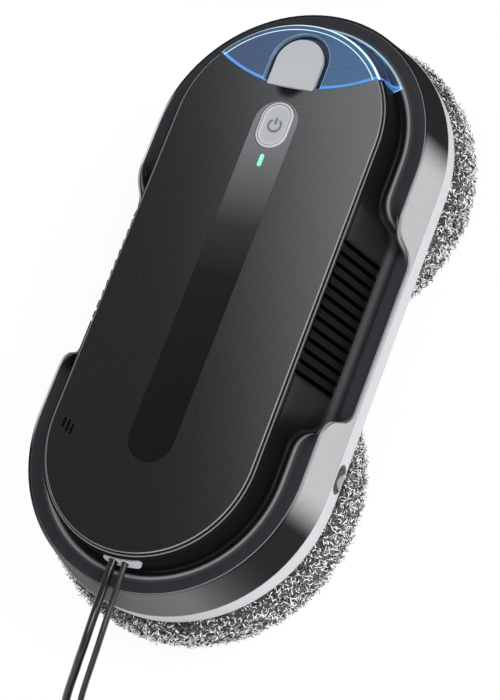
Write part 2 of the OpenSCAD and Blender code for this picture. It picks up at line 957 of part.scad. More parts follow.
module suction_duct() {
    color("#3d4043") {
        difference() {
            slab(duct_z, duct_top) duct_outline(0);
            slab(duct_z + duct_wall, duct_top - duct_wall) duct_outline(-duct_wall);
            for (side = [-1, 1])
                translate([0, side * mop_y, duct_z - cut]) cylinder(r = hub_bore_r, h = duct_h / 2 + cut);
            translate([0, 0, duct_top - duct_wall - cut]) cylinder(r = hub_bore_r, h = duct_wall + 2 * cut);
        }
        for (side = [-1, 1], end = [-1, 1])
            translate([side * (duct_half_w - duct_leg / 2), end * duct_leg_y, floor_z + duct_leg_h / 2])
                cube([duct_leg, duct_leg, duct_leg_h], center = true);
    }
}

module hub_seal_front() {
    color("#222426")
    translate([0, mop_y, hub_top + play])
        difference() {
            cylinder(r = hub_bore_r + duct_wall, h = duct_z - hub_top - play);
            translate([0, 0, -cut]) cylinder(r = hub_bore_r, h = duct_z - hub_top + cut);
        }
}

module hub_seal_rear() {
    at_rear() hub_seal_front();
}

fan_wall = 2;
impeller_gap = 3;
impeller_r = fan_r - fan_wall - impeller_gap;
impeller_low = duct_top + fan_wall + play * 2;
impeller_top = duct_top + fan_h - fan_wall - play * 2;
back_t = 1.2;
blade_t = 1.2;
fan_hub_r = 6.5;
fan_shaft_len = 6;
fan_z = duct_top + fan_h;

module fan_housing() {
    window_w = 30;
    color("#46494c")
    difference() {
        translate([0, 0, duct_top]) cylinder(r = fan_r, h = fan_h);
        translate([0, 0, duct_top + fan_wall]) cylinder(r = fan_r - fan_wall, h = fan_h - 2 * fan_wall);
        translate([0, 0, duct_top - cut]) cylinder(r = hub_bore_r, h = fan_h / 2);
        translate([0, 0, duct_top + fan_h / 2]) cylinder(r = fan_shaft_r + play, h = fan_h);
        for (side = [-1, 1])
            translate([side * fan_r, 0, duct_top + fan_h / 2])
                cube([fan_r, window_w, fan_h - 2 * fan_wall], center = true);
    }
}

module fan_impeller() {
    color("#d8d9da") {
        translate([0, 0, impeller_top - back_t]) cylinder(r = impeller_r, h = back_t);
        translate([0, 0, impeller_low]) cylinder(r = fan_hub_r, h = impeller_top - impeller_low);
        for (i = [0 : blade_count - 1])
            rotate([0, 0, 360 * i / blade_count])
                translate([fan_hub_r - blade_t, -blade_t / 2, impeller_low])
                    cube([impeller_r - fan_hub_r, blade_t, impeller_top - impeller_low]);
        translate([0, 0, impeller_low]) cylinder(r = fan_shaft_r, h = fan_z - impeller_low + fan_shaft_len);
    }
}

module fan_motor() {
    color("#9a9da0")
    translate([0, 0, fan_z])
        difference() {
            cylinder(r = fan_motor_r, h = deck_z - fan_z - play);
            translate([0, 0, -cut]) cylinder(r = fan_shaft_r + run_gap, h = fan_shaft_len + 2 * cut);
        }
}

// Water tank and its plug

hinge_r = tab_t / 2;
tab_proud = 0.2;
pocket_z = top_z - tab_t - play + tab_proud;
tab_z = pocket_z + play;
hinge_z = tab_z + hinge_r;
hinge_y = tab_end_y - hinge_r;
knuckle_half = 2.6;
lug_t = 1.6;
lug_wall = 0.3;
hinge_pin_r = 0.6;
filler_back = 1.3;
filler_y = tab_y - filler_back;

module tab_outline(grow) {
    translate([0, tab_y]) circle(tab_r + grow);
    translate([-tab_r - grow, tank_edge_y - tank_wall])
        square([2 * (tab_r + grow), tab_y - tank_edge_y + tank_wall]);
}

module tank_profile() {
    polygon(concat(
        [[0, shoulder_z]],
        hollow(foot_r, shoulder_z),
        [[lip_r, lip_z], [cover_r, top_z], [0, top_z]]
    ));
}

module water_tank() {
    color("#3f7fc4", 0.6)
    union() {
        difference() {
            union() {
                intersection() {
                    translate([0, cover_half, 0]) rotate_extrude() tank_profile();
                    slab(shoulder_z, top_z) tank_zone(tank_foot_r, 0);
                }
                slab(sump_z, shoulder_z + cut) tank_zone(sump_r, -sump_in);
            }
            difference() {
                slab(sump_z + tank_wall, top_z - tank_wall)
                    tank_zone(sump_r - tank_wall, -sump_in - tank_wall);
                slab(pocket_z - tank_wall, top_z) tab_outline(tab_channel + tank_wall);
            }
            slab(pocket_z, top_z + cut) tab_outline(tab_channel);
            translate([0, filler_y, pocket_z - tank_wall - cut])
                cylinder(r = filler_r, h = tank_wall + 2 * cut);
            translate([pump_x, pump_end_y, pump_z])
                rotate([-90, 0, 0])
                    cylinder(r = hose_bore_r, h = spigot_len + 3 * tank_wall);
        }
        hinge_lugs();
        tank_spigot();
    }
}

module hinge_lugs() {
    lug_w = 2 * (hinge_pin_r + lug_wall);
    lug_top = hinge_z + hinge_pin_r + lug_wall;
    for (side = [-1, 1])
        difference() {
            translate([side * (knuckle_half + play + lug_t / 2), hinge_y, (pocket_z + lug_top) / 2])
                cube([lug_t, lug_w, lug_top - pocket_z], center = true);
            translate([side * (knuckle_half + lug_t), hinge_y, hinge_z])
                rotate([0, 90, 0])
                    cylinder(r = hinge_pin_r + run_gap, h = 3 * lug_t, center = true);
        }
}

module filler_plug() {
    stem_top_r = filler_r - play;
    stem_taper = 1.4;
    stem_low_r = stem_top_r - stem_taper;
    stem_h = 3.2;
    notch_w = lug_t + 2 * play;
    color("#b4b6b9") {
        difference() {
            slab(tab_z, tab_z + tab_t) tab_outline(0);
            translate([-tab_r - cut, tank_edge_y - tab_r, tab_z - cut])
                cube([2 * tab_r + 2 * cut, tab_front_y - tank_edge_y + tab_r, tab_t + 2 * cut]);
            translate([-tab_r, hinge_y, tab_z - cut]) cube([2 * tab_r, tab_r, tab_t + 2 * cut]);
            for (side = [0, 1])
                mirror([side, 0, 0])
                    translate([knuckle_half, hinge_y - 2 * hinge_r, tab_z - cut])
                        cube([notch_w, tab_r, tab_t + 2 * cut]);
        }
        translate([0, hinge_y, hinge_z])
            rotate([0, 90, 0]) {
                cylinder(r = hinge_r, h = 2 * knuckle_half, center = true);
                cylinder(r = hinge_pin_r, h = 2 * (knuckle_half + lug_t), center = true);
            }
        translate([0, filler_y, tab_z - stem_h]) cylinder(r1 = stem_low_r, r2 = stem_top_r, h = stem_h);
    }
}

// Spray

nozzle_depth = 5;
nozzle_wall = 1;
jet_r = 0.6;

// Oblong along the strip, drawn through the base's wall
module nozzle_prism(grow, deep) {
    rotate([90, 0, 90])
        linear_extrude(2 * deep, center = true)
            rotate(90) oblong(nozzle_len + 2 * grow, nozzle_h + 2 * grow);
}

module spray_nozzle_right() {
    ball_r = (pow(nozzle_len / 2, 2) + pow(nozzle_depth, 2)) / (2 * nozzle_depth);
    color("#2a2c2e")
    translate([strip_r, -nozzle_y, nozzle_z])
        difference() {
            union() {
                translate([-nozzle_depth - nozzle_wall, 0, 0])
                    rotate([90, 0, 90])
                        linear_extrude(nozzle_depth + nozzle_wall) rotate(90) oblong(nozzle_len, nozzle_h);
                translate([-nozzle_depth - nozzle_wall - spigot_len, 0, 0])
                    rotate([0, 90, 0]) cylinder(r = hose_bore_r, h = spigot_len + nozzle_wall);
            }
            translate([ball_r - nozzle_depth, 0, 0]) sphere(ball_r - nozzle_wall);
            translate([-nozzle_depth - 2 * spigot_len, 0, 0])
                rotate([0, 90, 0]) cylinder(r = jet_r, h = 3 * spigot_len);
        }
}

module spray_nozzle_left() {
    at_rear() spray_nozzle_right();
}

// Pump beside the duct, with a cylinder along Y, a head block towards the tank and two outlets
spigot_len = 4;
pump_r = 7.5;
pump_len = 22;
head_len = 8;
pump_x = 28;
pump_lift = 2;
pump_gap = 4;
pump_z = motor_z + pump_r + pump_lift;
pump_y = motor_y + motor_r + pump_gap;
head_y = pump_y + pump_len;
pump_end_y = head_y + head_len;

module tank_spigot() {
    wall_y = tank_arc_y - sqrt(pow(tank_arc_r - sump_in, 2) - pow(pump_x, 2));
    translate([pump_x, wall_y + tank_wall / 2, pump_z])
        rotate([90, 0, 0])
            difference() {
                cylinder(r = hose_r, h = spigot_len + tank_wall / 2);
                translate([0, 0, -cut]) cylinder(r = hose_bore_r, h = spigot_len + tank_wall + 2 * cut);
            }
}

module water_pump() {
    stand = 3;
    out_z = 2 * hose_r;
    foot_x = sqrt(pow(gear_tip_r + 5 * play, 2) - pow(head_y - mop_y, 2));
    color("#5d6063") {
        translate([pump_x, pump_y, pump_z]) rotate([-90, 0, 0]) cylinder(r = pump_r, h = pump_len);
        translate([pump_x - pump_r, head_y, pump_z - pump_r]) cube([2 * pump_r, head_len, 2 * pump_r]);
        translate([pump_x, pump_y + pump_len / 2, pump_z]) cylinder(r = hose_bore_r, h = pump_r + out_z);
        translate([pump_x, head_y + head_len / 2, pump_z]) rotate([0, 90, 0])
            cylinder(r = hose_bore_r, h = pump_r + out_z);
        // Foot beyond the gear's teeth, down to the base's floor, on an arm under the head
        translate([pump_x, head_y, pump_z - pump_r]) cube([foot_x + stand - pump_x, head_len, stand]);
        translate([foot_x, head_y, floor_z]) cube([stand, head_len, pump_z - pump_r + stand - floor_z]);
    }
}

// Hose through a list of places, with a round elbow at each turn
module hose(places) {
    elbow_share = 1.12;
    module run(r, over, ball) {
        for (i = [0 : len(places) - 2]) {
            along = places[i + 1] - places[i];
            len_i = norm(along);
            before = i == 0 ? over : 0;
            after = i == len(places) - 2 ? over : 0;
            translate(places[i] - along / len_i * before)
                rotate([0, acos(along.z / len_i), atan2(along.y, along.x)])
                    cylinder(r = r, h = len_i + before + after, $fn = 24);
            if (i > 0) translate(places[i]) sphere(r * ball, $fn = 24);
        }
    }
    color("#c8d6e0", 0.8)
    difference() {
        run(hose_r, 0, elbow_share);
        run(hose_bore_r + run_gap, cut, elbow_share);
    }
}

barb_x = strip_r - nozzle_depth - nozzle_wall - fit_gap;
hose_wall_gap = 6;
side_run_x = flank_at(strip_z) - shell_t - hose_r - hose_wall_gap;
pump_out_x = pump_x + pump_r + fit_gap;
pump_out_z = pump_z + pump_r + fit_gap;
hose_rise = 1;
over_z = main_board_z - hose_r + hose_rise;

module tank_hose() {
    wall_y = tank_arc_y - sqrt(pow(tank_arc_r - sump_in, 2) - pow(pump_x, 2));
    hose([[pump_x, pump_end_y, pump_z], [pump_x, wall_y - spigot_len, pump_z]]);
}

module spray_hose_right() {
    run_y = head_y + head_len / 2;
    hose([
        [pump_out_x, run_y, pump_z],
        [side_run_x, run_y, pump_z],
        [side_run_x, -nozzle_y, pump_z],
        [side_run_x, -nozzle_y, nozzle_z],
        [barb_x, -nozzle_y, nozzle_z]
    ]);
}

module spray_hose_left() {
    run_y = pump_y + pump_len / 2;
    drop_x = -seat_r + 3 * hose_r / 4;
    hose([
        [pump_x, run_y, pump_out_z],
        [pump_x, run_y, over_z],
        [drop_x, run_y, over_z],
        [drop_x, run_y, nozzle_z],
        [drop_x, nozzle_y, nozzle_z],
        [-barb_x, nozzle_y, nozzle_z]
    ]);
}

// Backup cells in trays

cell_x = 30;
// The cells end beside the curve of the tank's wall, a little past its middle
cell_ahead = 1.7;
cell_y = tank_edge_y + cell_ahead - cell_len / 2;
tray_t = 1.4;
tray_gap = 0.6;
tray_z = hub_top + tray_gap;
cell_z = tray_z + tray_t + cell_r;
tray_leg = 3;
tray_leg_y = 15;

module battery_cell_front() {
    cap_r = 3;
    cap_h = 1;
    color("#3c78b4")
    translate([-cell_x, cell_y - cell_len / 2, cell_z])
        rotate([-90, 0, 0]) {
            cylinder(r = cell_r, h = cell_len - cap_h);
            cylinder(r = cap_r, h = cell_len);
        }
}

module battery_cell_rear() {
    at_rear() battery_cell_front();
}

module battery_tray_front() {
    end_t = 2;
    inner = cell_x - cell_r;
    outer = cell_x + cell_r + play + tray_t;
    len_t = cell_len + 2 * (play + end_t);
    color("#2c2e30") {
        translate([-outer, cell_y - len_t / 2, tray_z]) cube([outer - inner, len_t, tray_t]);
        translate([-outer, cell_y - len_t / 2, tray_z]) cube([tray_t, len_t, cell_r]);
        for (y = [cell_y - len_t / 2, cell_y + len_t / 2 - end_t])
            translate([-outer, y, tray_z]) cube([outer - inner, end_t, cell_r]);
        for (along = [-tray_leg_y, tray_leg_y])
            translate([-outer - tray_leg / 2, cell_y + along - tray_leg / 2, floor_z])
                cube([tray_leg, tray_leg, tray_z + tray_t - floor_z]);
    }
}

module battery_tray_rear() {
    at_rear() battery_tray_front();
}

// Cord outlet

lead_x = 0.5;
rope_x = 6.2;
clamp_d = 8;
clamp_h = 7.4;
clamp_y = 2;

module cord_bezel() {
    grow = 0.2;
    color("#c3c5c7")
    difference() {
        intersection() {
            bezel_prism(0);
            translate([0, -cover_half, 0])
                rotate_extrude()
                    polygon([
                        [flank_at(roof_z) - shell_t, roof_z],
                        [flank_at(roof_z) + grow, roof_z],
                        [flank_at(lip_z) + grow, lip_z],
                        [flank_at(lip_z) - shell_t, lip_z]
                    ]);
        }
        cord_hole(lead_x, lead_d);
        cord_hole(rope_x, rope_d);
    }
}

module cord_hole(x, d) {
    translate([x, -cover_end, cord_z])
        rotate([90, 0, 0])
            cylinder(r = d / 2 + play, h = 4 * shell_t, center = true);
}

module cord_clamp() {
    clamp_in = 0.5;
    half_w = bezel_w / 2 - clamp_in;
    color("#4a4d50")
    translate([bezel_x - half_w, -cover_end + clamp_y, seat_z - clamp_h])
        cube([2 * half_w, clamp_d, clamp_h]);
}

// Cords. A tube is swept along its points: each ring lies in the plane that halves the bend

function unit(v) = v / norm(v);
function heading(points, i) =
    unit(points[min(i + 1, len(points) - 1)] - points[max(i - 1, 0)]);

// A ring's sides are counted from the level line, so that the rings don't twist
function ring(points, i, r, sides) =
    let (along = heading(points, i),
         level = unit(cross([0, 0, 1], along)),
         up = cross(along, level))
    [for (k = [0 : sides - 1])
        let (a = 360 * (k + 0.5) / sides)
        points[i] + r * (cos(a) * level + sin(a) * up)];

module tube(points, d, sides) {
    n = len(points);
    rings = [for (i = [0 : n - 1]) each ring(points, i, d / 2, sides)];
    sides_list = [
        for (i = [0 : n - 2], k = [0 : sides - 1])
            let (a = i * sides + k,
                 b = i * sides + (k + 1) % sides)
            each [[a, b, b + sides], [a, b + sides, a + sides]]
    ];
    ends = [
        for (k = [1 : sides - 2])
            each [[0, k + 1, k], [(n - 1) * sides, (n - 1) * sides + k, (n - 1) * sides + k + 1]]
    ];
    polyhedron(points = rings, faces = concat(sides_list, ends), convexity = 10);
}

// Free runs: points chosen by hand, from the clamp to the start of the coil
LEAD_RUN = [
    [0.5, -122.5, 64.7], [0.5, -127, 64.7], [0.5, -133, 64.7], [0.5, -139, 64.2], [0, -145, 62.7],
    [-1.4, -151, 59.7], [-3.3, -157, 55.7], [-5.7, -163, 50.7], [-8.8, -168.6, 44.7],
    [-12, -174.4, 38.2], [-15.6, -180.3, 31.2], [-18.6, -186.3, 24.5], [-20.4, -192.5, 18],
    [-21.2, -199, 12.2], [-21.1, -206, 7.4], [-20.4, -213.5, 4.1], [-19.4, -221, 2.3],
    [-18.7, -228, 1.9], [-18.5, -233, 1.9]
];
ROPE_RUN = [
    [6.2, -122.5, 64.7], [6.2, -127, 64.7], [6.4, -132, 64.7], [6.5, -137.7, 64.2],
    [6, -143.6, 62.7], [4.7, -149.4, 59.7], [2.9, -155.2, 55.7], [0.6, -161, 50.7],
    [-2.3, -166.6, 44.7], [-5.5, -172.4, 38.2], [-8.9, -178.2, 31.2], [-11.9, -184.1, 24.4],
    [-13.3, -190, 17.8], [-13.2, -196, 11.6], [-12, -202.5, 6.4], [-10.1, -209, 3],
    [-8.3, -215, 1.5], [-7.2, -219.5, 1.4], [-7, -222, 1.4]
];

// Coils: the first and last points of the turns, and the straight ends
LEAD_COIL_AT = [-48.5, -234];
LEAD_COIL_R = 30;
LEAD_TAIL = [
    [-18.5, -238, 6.2], [-18.5, -242, 6], [-18.5, -247, 5.6], [-18.5, -252, 5.2], [-18.5, -256, 5.2]
];
ROPE_COIL_AT = [29, -224];
ROPE_COIL_R = 36;
ROPE_TAIL = [
    [-7, -229, 11.3], [-6.8, -234, 11.3], [-6.2, -239, 11], [-5.2, -244, 9.4], [-4, -249, 7],
    [-2.8, -254, 4.6], [-1.8, -259, 2.9], [-1.2, -264, 2.2], [-1, -268, 2.2]
];

// Turns of a coil, spiralling in and out again and climbing one layer round each reversal. turn is
// 1 for a coil that runs against the clock, -1 for one that runs with it, start is its first angle
function coil_points(at, r_out, d, turns, layers, steps, start, turn) =
    let (pitch = d + coil_gap)
    [for (i = [0 : turns * layers * steps])
        let (u = i / steps,
             layer = min(floor(u / turns), layers - 1),
             along = u - layer * turns,
             inward = layer % 2 == 0 ? along : turns - along,
             near = round(u / turns),
             inner = near > 0 && near < layers,
             climb = inner ? smooth(max(-0.25, min(0.25, u - near * turns)) * 2 + 0.5) : 0,
             step = inner ? near - 1 + climb : min(near, layers - 1),
             r = r_out - inward * pitch,
             a = start + turn * 360 * u)
        [at.x + r * cos(a), at.y + r * sin(a), d / 2 + step * pitch]];

function smooth(s) = s * s * (3 - 2 * s);

lead_steps = 24;
rope_steps = 20;
lead_layers = 2;
rope_layers = 4;
coil_lead_in = 1;

function lead_coil_points() = concat(
    [[LEAD_COIL_AT.x + LEAD_COIL_R, LEAD_COIL_AT.y + coil_lead_in, lead_d / 2]],
    coil_points(LEAD_COIL_AT, LEAD_COIL_R, lead_d, lead_turns, lead_layers, lead_steps, 0, -1),
    LEAD_TAIL
);

function rope_coil_points() = concat(
    [[ROPE_COIL_AT.x - ROPE_COIL_R, ROPE_COIL_AT.y + 2 * coil_lead_in, rope_d / 2]],
    coil_points(ROPE_COIL_AT, ROPE_COIL_R, rope_d, rope_turns, rope_layers, rope_steps, 180, 1),
    ROPE_TAIL
);

// Least gap of a coil to itself, measured between points half a turn or more apart
function own_gap(points, d, steps) =
    min([for (i = [0 : len(points) - 1], j = [i + steps / 2 : len(points) - 1])
        norm(points[i] - points[j])]) - d;

function run_length(points) =
    let (parts = [for (i = [1 : len(points) - 1]) norm(points[i] - points[i - 1])])
    parts * [for (p = parts) 1];

module power_lead() {
    color("#151617") tube(LEAD_RUN, lead_d, 8);
}

module power_lead_coil() {
    color("#151617") tube(lead_coil_points(), lead_d, 6);
}

module safety_rope() {
    color("#2a2b2d") tube(ROPE_RUN, rope_d, 8);
}

module safety_rope_coil() {
    color("#2a2b2d") tube(rope_coil_points(), rope_d, 6);
}

// Barrel plug at the end of the power lead
plug_grip_r = 5.2;
plug_neck_r = 3;
plug_body_len = 22;
barrel_bore_r = 1.05;

module lead_plug() {
    rear = LEAD_TAIL[len(LEAD_TAIL) - 1];
    color("#1d1e20")
    translate(rear)
        rotate([90, 0, 0])
            difference() {
                rotate_extrude()
                    polygon([
                        [0, 0],
                        [plug_neck_r, 0],
                        [plug_grip_r, plug_body_len / 3],
                        [plug_grip_r, plug_body_len],
                        [barrel_r, plug_body_len],
                        [barrel_r, plug_body_len + barrel_len],
                        [0, plug_body_len + barrel_len]
                    ]);
                translate([0, 0, plug_body_len])
                    cylinder(r = barrel_bore_r, h = barrel_len + cut);
            }
}

// Snap hook at the end of the safety rope, lying on the floor. It is drawn with its ferrule's end
// at the origin and its length along Y, at the height of its rod's middle
ferrule_r = 2.2;
ferrule_len = 8;
eye_sink = 1.2;
eye_y = ferrule_len + eye_r + rod_r - eye_sink;
low_bend_y = eye_y + eye_r + bend_r;
high_bend_y = low_bend_y + spine_len;
gate_rise = 2;
gate_y = low_bend_y + gate_rise;
gate_pin_r = 0.8;
knuckle_h = 1.8;
gate_r = 1.7;
nose_len = 2;

module hook_place() {
    end = ROPE_TAIL[len(ROPE_TAIL) - 1];
    translate(end) rotate([0, 0, 180]) children();
}

module bend(r, from, to) {
    rotate([0, 0, from])
        rotate_extrude(angle = to - from)
            translate([r, 0]) circle(rod_r, $fn = 24);
}

module rod(from_y, to_y, x) {
    translate([x, from_y, 0])
        rotate([-90, 0, 0])
            cylinder(r = rod_r, h = to_y - from_y, $fn = 24);
}

module snap_hook() {
    fork_gap = knuckle_h / 2 + fit_gap;
    color("#a9acaf")
    hook_place() {
        rotate([-90, 0, 0]) cylinder(r = ferrule_r, h = ferrule_len);
        translate([0, eye_y, 0]) rotate_extrude() translate([eye_r, 0]) circle(rod_r - fit_gap, $fn = 24);
        translate([0, low_bend_y, 0]) bend(bend_r, 180, 360);
        rod(low_bend_y, high_bend_y, -bend_r);
        translate([0, high_bend_y, 0]) bend(bend_r, 0, 180);
        rod(high_bend_y - nose_len, high_bend_y, bend_r);
        for (side = [-1, 1])
            translate([bend_r, gate_y, side * (fork_gap + rod_r) / 2])
                cube([2 * rod_r, 2 * (gate_y - low_bend_y) + rod_r, rod_r - fork_gap], center = true);
        translate([bend_r, gate_y, 0]) cylinder(r = gate_pin_r, h = 2 * rod_r - fit_gap, center = true);
    }
}

module hook_gate() {
    color("#c0c3c6")
    hook_place()
        translate([bend_r, gate_y, 0])
            difference() {
                union() {
                    cylinder(r = gate_r, h = knuckle_h, center = true);
                    translate([-knuckle_h / 2, 0, -knuckle_h / 2])
                        cube([knuckle_h, high_bend_y - gate_y - nose_len - play, knuckle_h]);
                }
                cylinder(r = gate_pin_r + run_gap, h = 2 * rod_r, center = true);
            }
}

echo(power_lead_mm = run_length(LEAD_RUN) + run_length(lead_coil_points()));
echo(safety_rope_mm = run_length(ROPE_RUN) + run_length(rope_coil_points()));
echo(lead_coil_own_gap_mm = own_gap(lead_coil_points(), lead_d, lead_steps));
echo(rope_coil_own_gap_mm = own_gap(rope_coil_points(), rope_d, rope_steps));

upper_shell();
top_cover();
inlay_strip();
led_lens();
silver_band();
base_shell();
base_screws();
water_tank();
filler_plug();
power_button();
spray_nozzle_right();
spray_nozzle_left();
water_pump();
tank_hose();
spray_hose_right();
spray_hose_left();
mop_pad_front();
mop_pad_rear();
hook_ring_front();
hook_ring_rear();
cleaning_disc_front();
cleaning_disc_rear();
disc_gear_front();
disc_gear_rear();
hub_bearing_front();
hub_bearing_rear();
pinion_front();
pinion_rear();
drive_motor_front();
drive_motor_rear();
suction_duct();
hub_seal_front();
hub_seal_rear();
fan_housing();
fan_impeller();
fan_motor();
battery_cell_front();
battery_cell_rear();
battery_tray_front();
battery_tray_rear();
main_board();
button_board();
speaker();
cord_bezel();
cord_clamp();
power_lead();
power_lead_coil();
lead_plug();
safety_rope();
safety_rope_coil();
snap_hook();
hook_gate();
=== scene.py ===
# %% [markdown]
# # A window cleaning robot
# The robot holds itself on a pane by suction and wipes it with two turning mops. The lesson starts from
# the imported CAD model, which gives every size and place. Parts whose CAD shape is already right, such as
# the tank, keep it and get a finish. The shell's skin, the button, the filler tab's cap, the near-black
# shade screens behind the slots, both cords and the fibre mops are modelled here.

# %% Load the frame
import math
import random

import bmesh
import bpy
from mathutils import Matrix, Vector


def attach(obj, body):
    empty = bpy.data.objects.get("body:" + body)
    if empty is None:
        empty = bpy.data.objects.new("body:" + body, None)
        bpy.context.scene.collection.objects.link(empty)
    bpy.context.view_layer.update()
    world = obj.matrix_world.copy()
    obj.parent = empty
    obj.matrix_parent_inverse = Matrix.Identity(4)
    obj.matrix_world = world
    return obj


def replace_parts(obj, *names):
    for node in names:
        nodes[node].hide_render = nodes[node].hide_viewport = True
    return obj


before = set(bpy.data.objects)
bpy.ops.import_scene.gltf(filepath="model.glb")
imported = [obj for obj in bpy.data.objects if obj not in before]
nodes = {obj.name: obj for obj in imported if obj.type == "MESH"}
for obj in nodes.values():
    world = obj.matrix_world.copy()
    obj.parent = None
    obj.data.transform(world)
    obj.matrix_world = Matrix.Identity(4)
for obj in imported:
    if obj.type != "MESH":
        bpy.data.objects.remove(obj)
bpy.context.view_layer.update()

# %% [markdown]
# ## Camera
# A long lens from above and to the right. The robot's long axis runs from the bottom left of the
# picture to its top right, so the camera is rolled as well as tilted.

# %% Camera
def add_object(name, data):
    made = bpy.data.objects.new(name, data)
    bpy.context.scene.collection.objects.link(made)
    return made


def make_camera():
    data = bpy.data.cameras.new("camera")
    data.lens, data.sensor_width, data.clip_end = 97.4, 36, 20
    camera = add_object("camera", data)
    right = Vector((0.86621, 0.34896, -0.35764))
    up = Vector((-0.21806, 0.90798, 0.35779))
    back = right.cross(up)
    turn = Matrix((right, up, back)).transposed()
    place = Matrix.Translation((0.3857, -0.2110, 0.7570))
    camera.matrix_world = place @ turn.to_4x4()
    bpy.context.scene.camera = camera
    print("camera with a lens of", round(data.lens, 1), "mm")


make_camera()

# %% [markdown]
# ## Finishes as Python expressions
# A shader graph reads well as arithmetic. The class Value wraps one socket, so that noise * 2 - 1 adds
# the Math nodes for it. A Finish owns a material and adds any other node with a single method.

# %% Values and finishes
class Value:
    """One output socket of a finish's nodes, with arithmetic."""

    def __init__(self, finish, socket):
        self.finish, self.socket = finish, socket

    def math(self, operation, *others):
        return self.finish.add("ShaderNodeMath", {"operation": operation}, dict(enumerate(others)))

    def __add__(self, other): return self.math("ADD", self, other)
    def __radd__(self, other): return self.math("ADD", other, self)
    def __sub__(self, other): return self.math("SUBTRACT", self, other)
    def __rsub__(self, other): return self.math("SUBTRACT", other, self)
    def __mul__(self, other): return self.math("MULTIPLY", self, other)
    def __rmul__(self, other): return self.math("MULTIPLY", other, self)
    def __truediv__(self, other): return self.math("DIVIDE", self, other)
    def __pow__(self, other): return self.math("POWER", self, other)

    def high(self, other): return self.math("MAXIMUM", self, other)
    def absolute(self): return self.math("ABSOLUTE", self)

    def between(self, start, end):
        """0 where the value is start or less, 1 where it is end or more, smooth between them."""
        sockets = {"Value": self, "From Min": start, "From Max": end}
        return self.finish.add("ShaderNodeMapRange", {"interpolation_type": "SMOOTHSTEP"}, sockets)


class Finish:
    """A material on one Principled shader. Sockets that are the same all over are plain numbers."""

    def __init__(self, name, color, roughness, **sockets):
        self.material = bpy.data.materials.new(name)
        self.material.use_nodes = True
        self.tree = self.material.node_tree
        self.shader = self.tree.nodes["Principled BSDF"]
        self.feed("Base Color", (*color, 1))
        self.feed("Roughness", roughness)
        for socket, value in sockets.items():
            self.feed(socket.replace("_", " "), value)

    def add(self, kind, settings={}, sockets={}, out=0):
        """A new node with its settings and inputs, as the Value of its output."""
        node = self.tree.nodes.new(kind)
        for key, value in settings.items():
            setattr(node, key, value)
        for key, value in sockets.items():
            self.join(value, node.inputs[key])
        return Value(self, node.outputs[out])

    def join(self, value, socket):
        """Links a Value to the socket, or sets a plain number or colour."""
        if isinstance(value, Value):
            self.tree.links.new(value.socket, socket)
        else:
            socket.default_value = value

    def feed(self, socket, value):
        self.join(value, self.shader.inputs[socket])

    def place(self, scale):
        """The object's own coordinates times the scale."""
        where = self.add("ShaderNodeTexCoord", out="Object")
        return self.add("ShaderNodeMapping", {}, {"Vector": where, "Scale": scale})

    def axis(self, name):
        where = self.add("ShaderNodeTexCoord", out="Object")
        return self.add("ShaderNodeSeparateXYZ", {}, {"Vector": where}, out="XYZ".index(name))

    def ramp(self, tones, share):
        """Colours that follow the share, given as (position, colour) from 0 to 1."""
        node = self.tree.nodes.new("ShaderNodeValToRGB")
        while len(node.color_ramp.elements) < len(tones):
            node.color_ramp.elements.new(1)
        for element, (place, tone) in zip(node.color_ramp.elements, tones):
            element.position, element.color = place, (*tone, 1)
        self.join(share, node.inputs["Fac"])
        return Value(self, node.outputs["Color"])

    def noise(self, size, detail=2, rough=0.5, stretch=(1, 1, 1)):
        """Noise from 0 to 1 whose features are about size metres wide."""
        scale = [s / size for s in stretch]
        sockets = {"Vector": self.place(scale), "Scale": 1, "Detail": detail, "Roughness": rough}
        return self.add("ShaderNodeTexNoise", {"noise_dimensions": "3D"}, sockets)

    def blend(self, first, second, share):
        """The first colour where the share is 0, and the second where it is 1."""
        first, second = [c if isinstance(c, Value) else (*c, 1) for c in (first, second)]
        return self.add("ShaderNodeMix", {"data_type": "RGBA"}, {0: share, 6: first, 7: second}, out=2)

    def bump(self, height, depth):
        """Relief of the given depth. Gives the finish back."""
        self.feed("Normal", self.add("ShaderNodeBump", {}, {"Height": height, "Distance": depth}))
        return self


def stripe(value, start, end, soft=0.00012):
    """1 between two limits and 0 outside them, with soft edges."""
    return value.between(start - soft, start + soft) * (1 - value.between(end - soft, end + soft))


print("finish helpers ready")

# %% [markdown]
# Moulded plastic is never one flat tone. A fine spark-eroded grain breaks up its highlight, and broad,
# faint clouds in its roughness come from handling. This helper gives any plastic both.

# %% Plastics
def plastic(name, color, roughness, grain=0.0004, depth=0.00002, cloud=0.06, **sockets):
    """grain is the relief's size and depth its depth. cloud is how much the roughness varies."""
    finish = Finish(name, color, roughness, **sockets)
    clouds = finish.noise(0.03, 3)
    dark, light = [[c * share for c in color] for share in (0.92, 1.08)]
    finish.feed("Base Color", finish.blend(dark, light, clouds))
    finish.feed("Roughness", roughness - cloud / 2 + cloud * clouds)
    return finish.bump(finish.noise(grain, 2), depth)
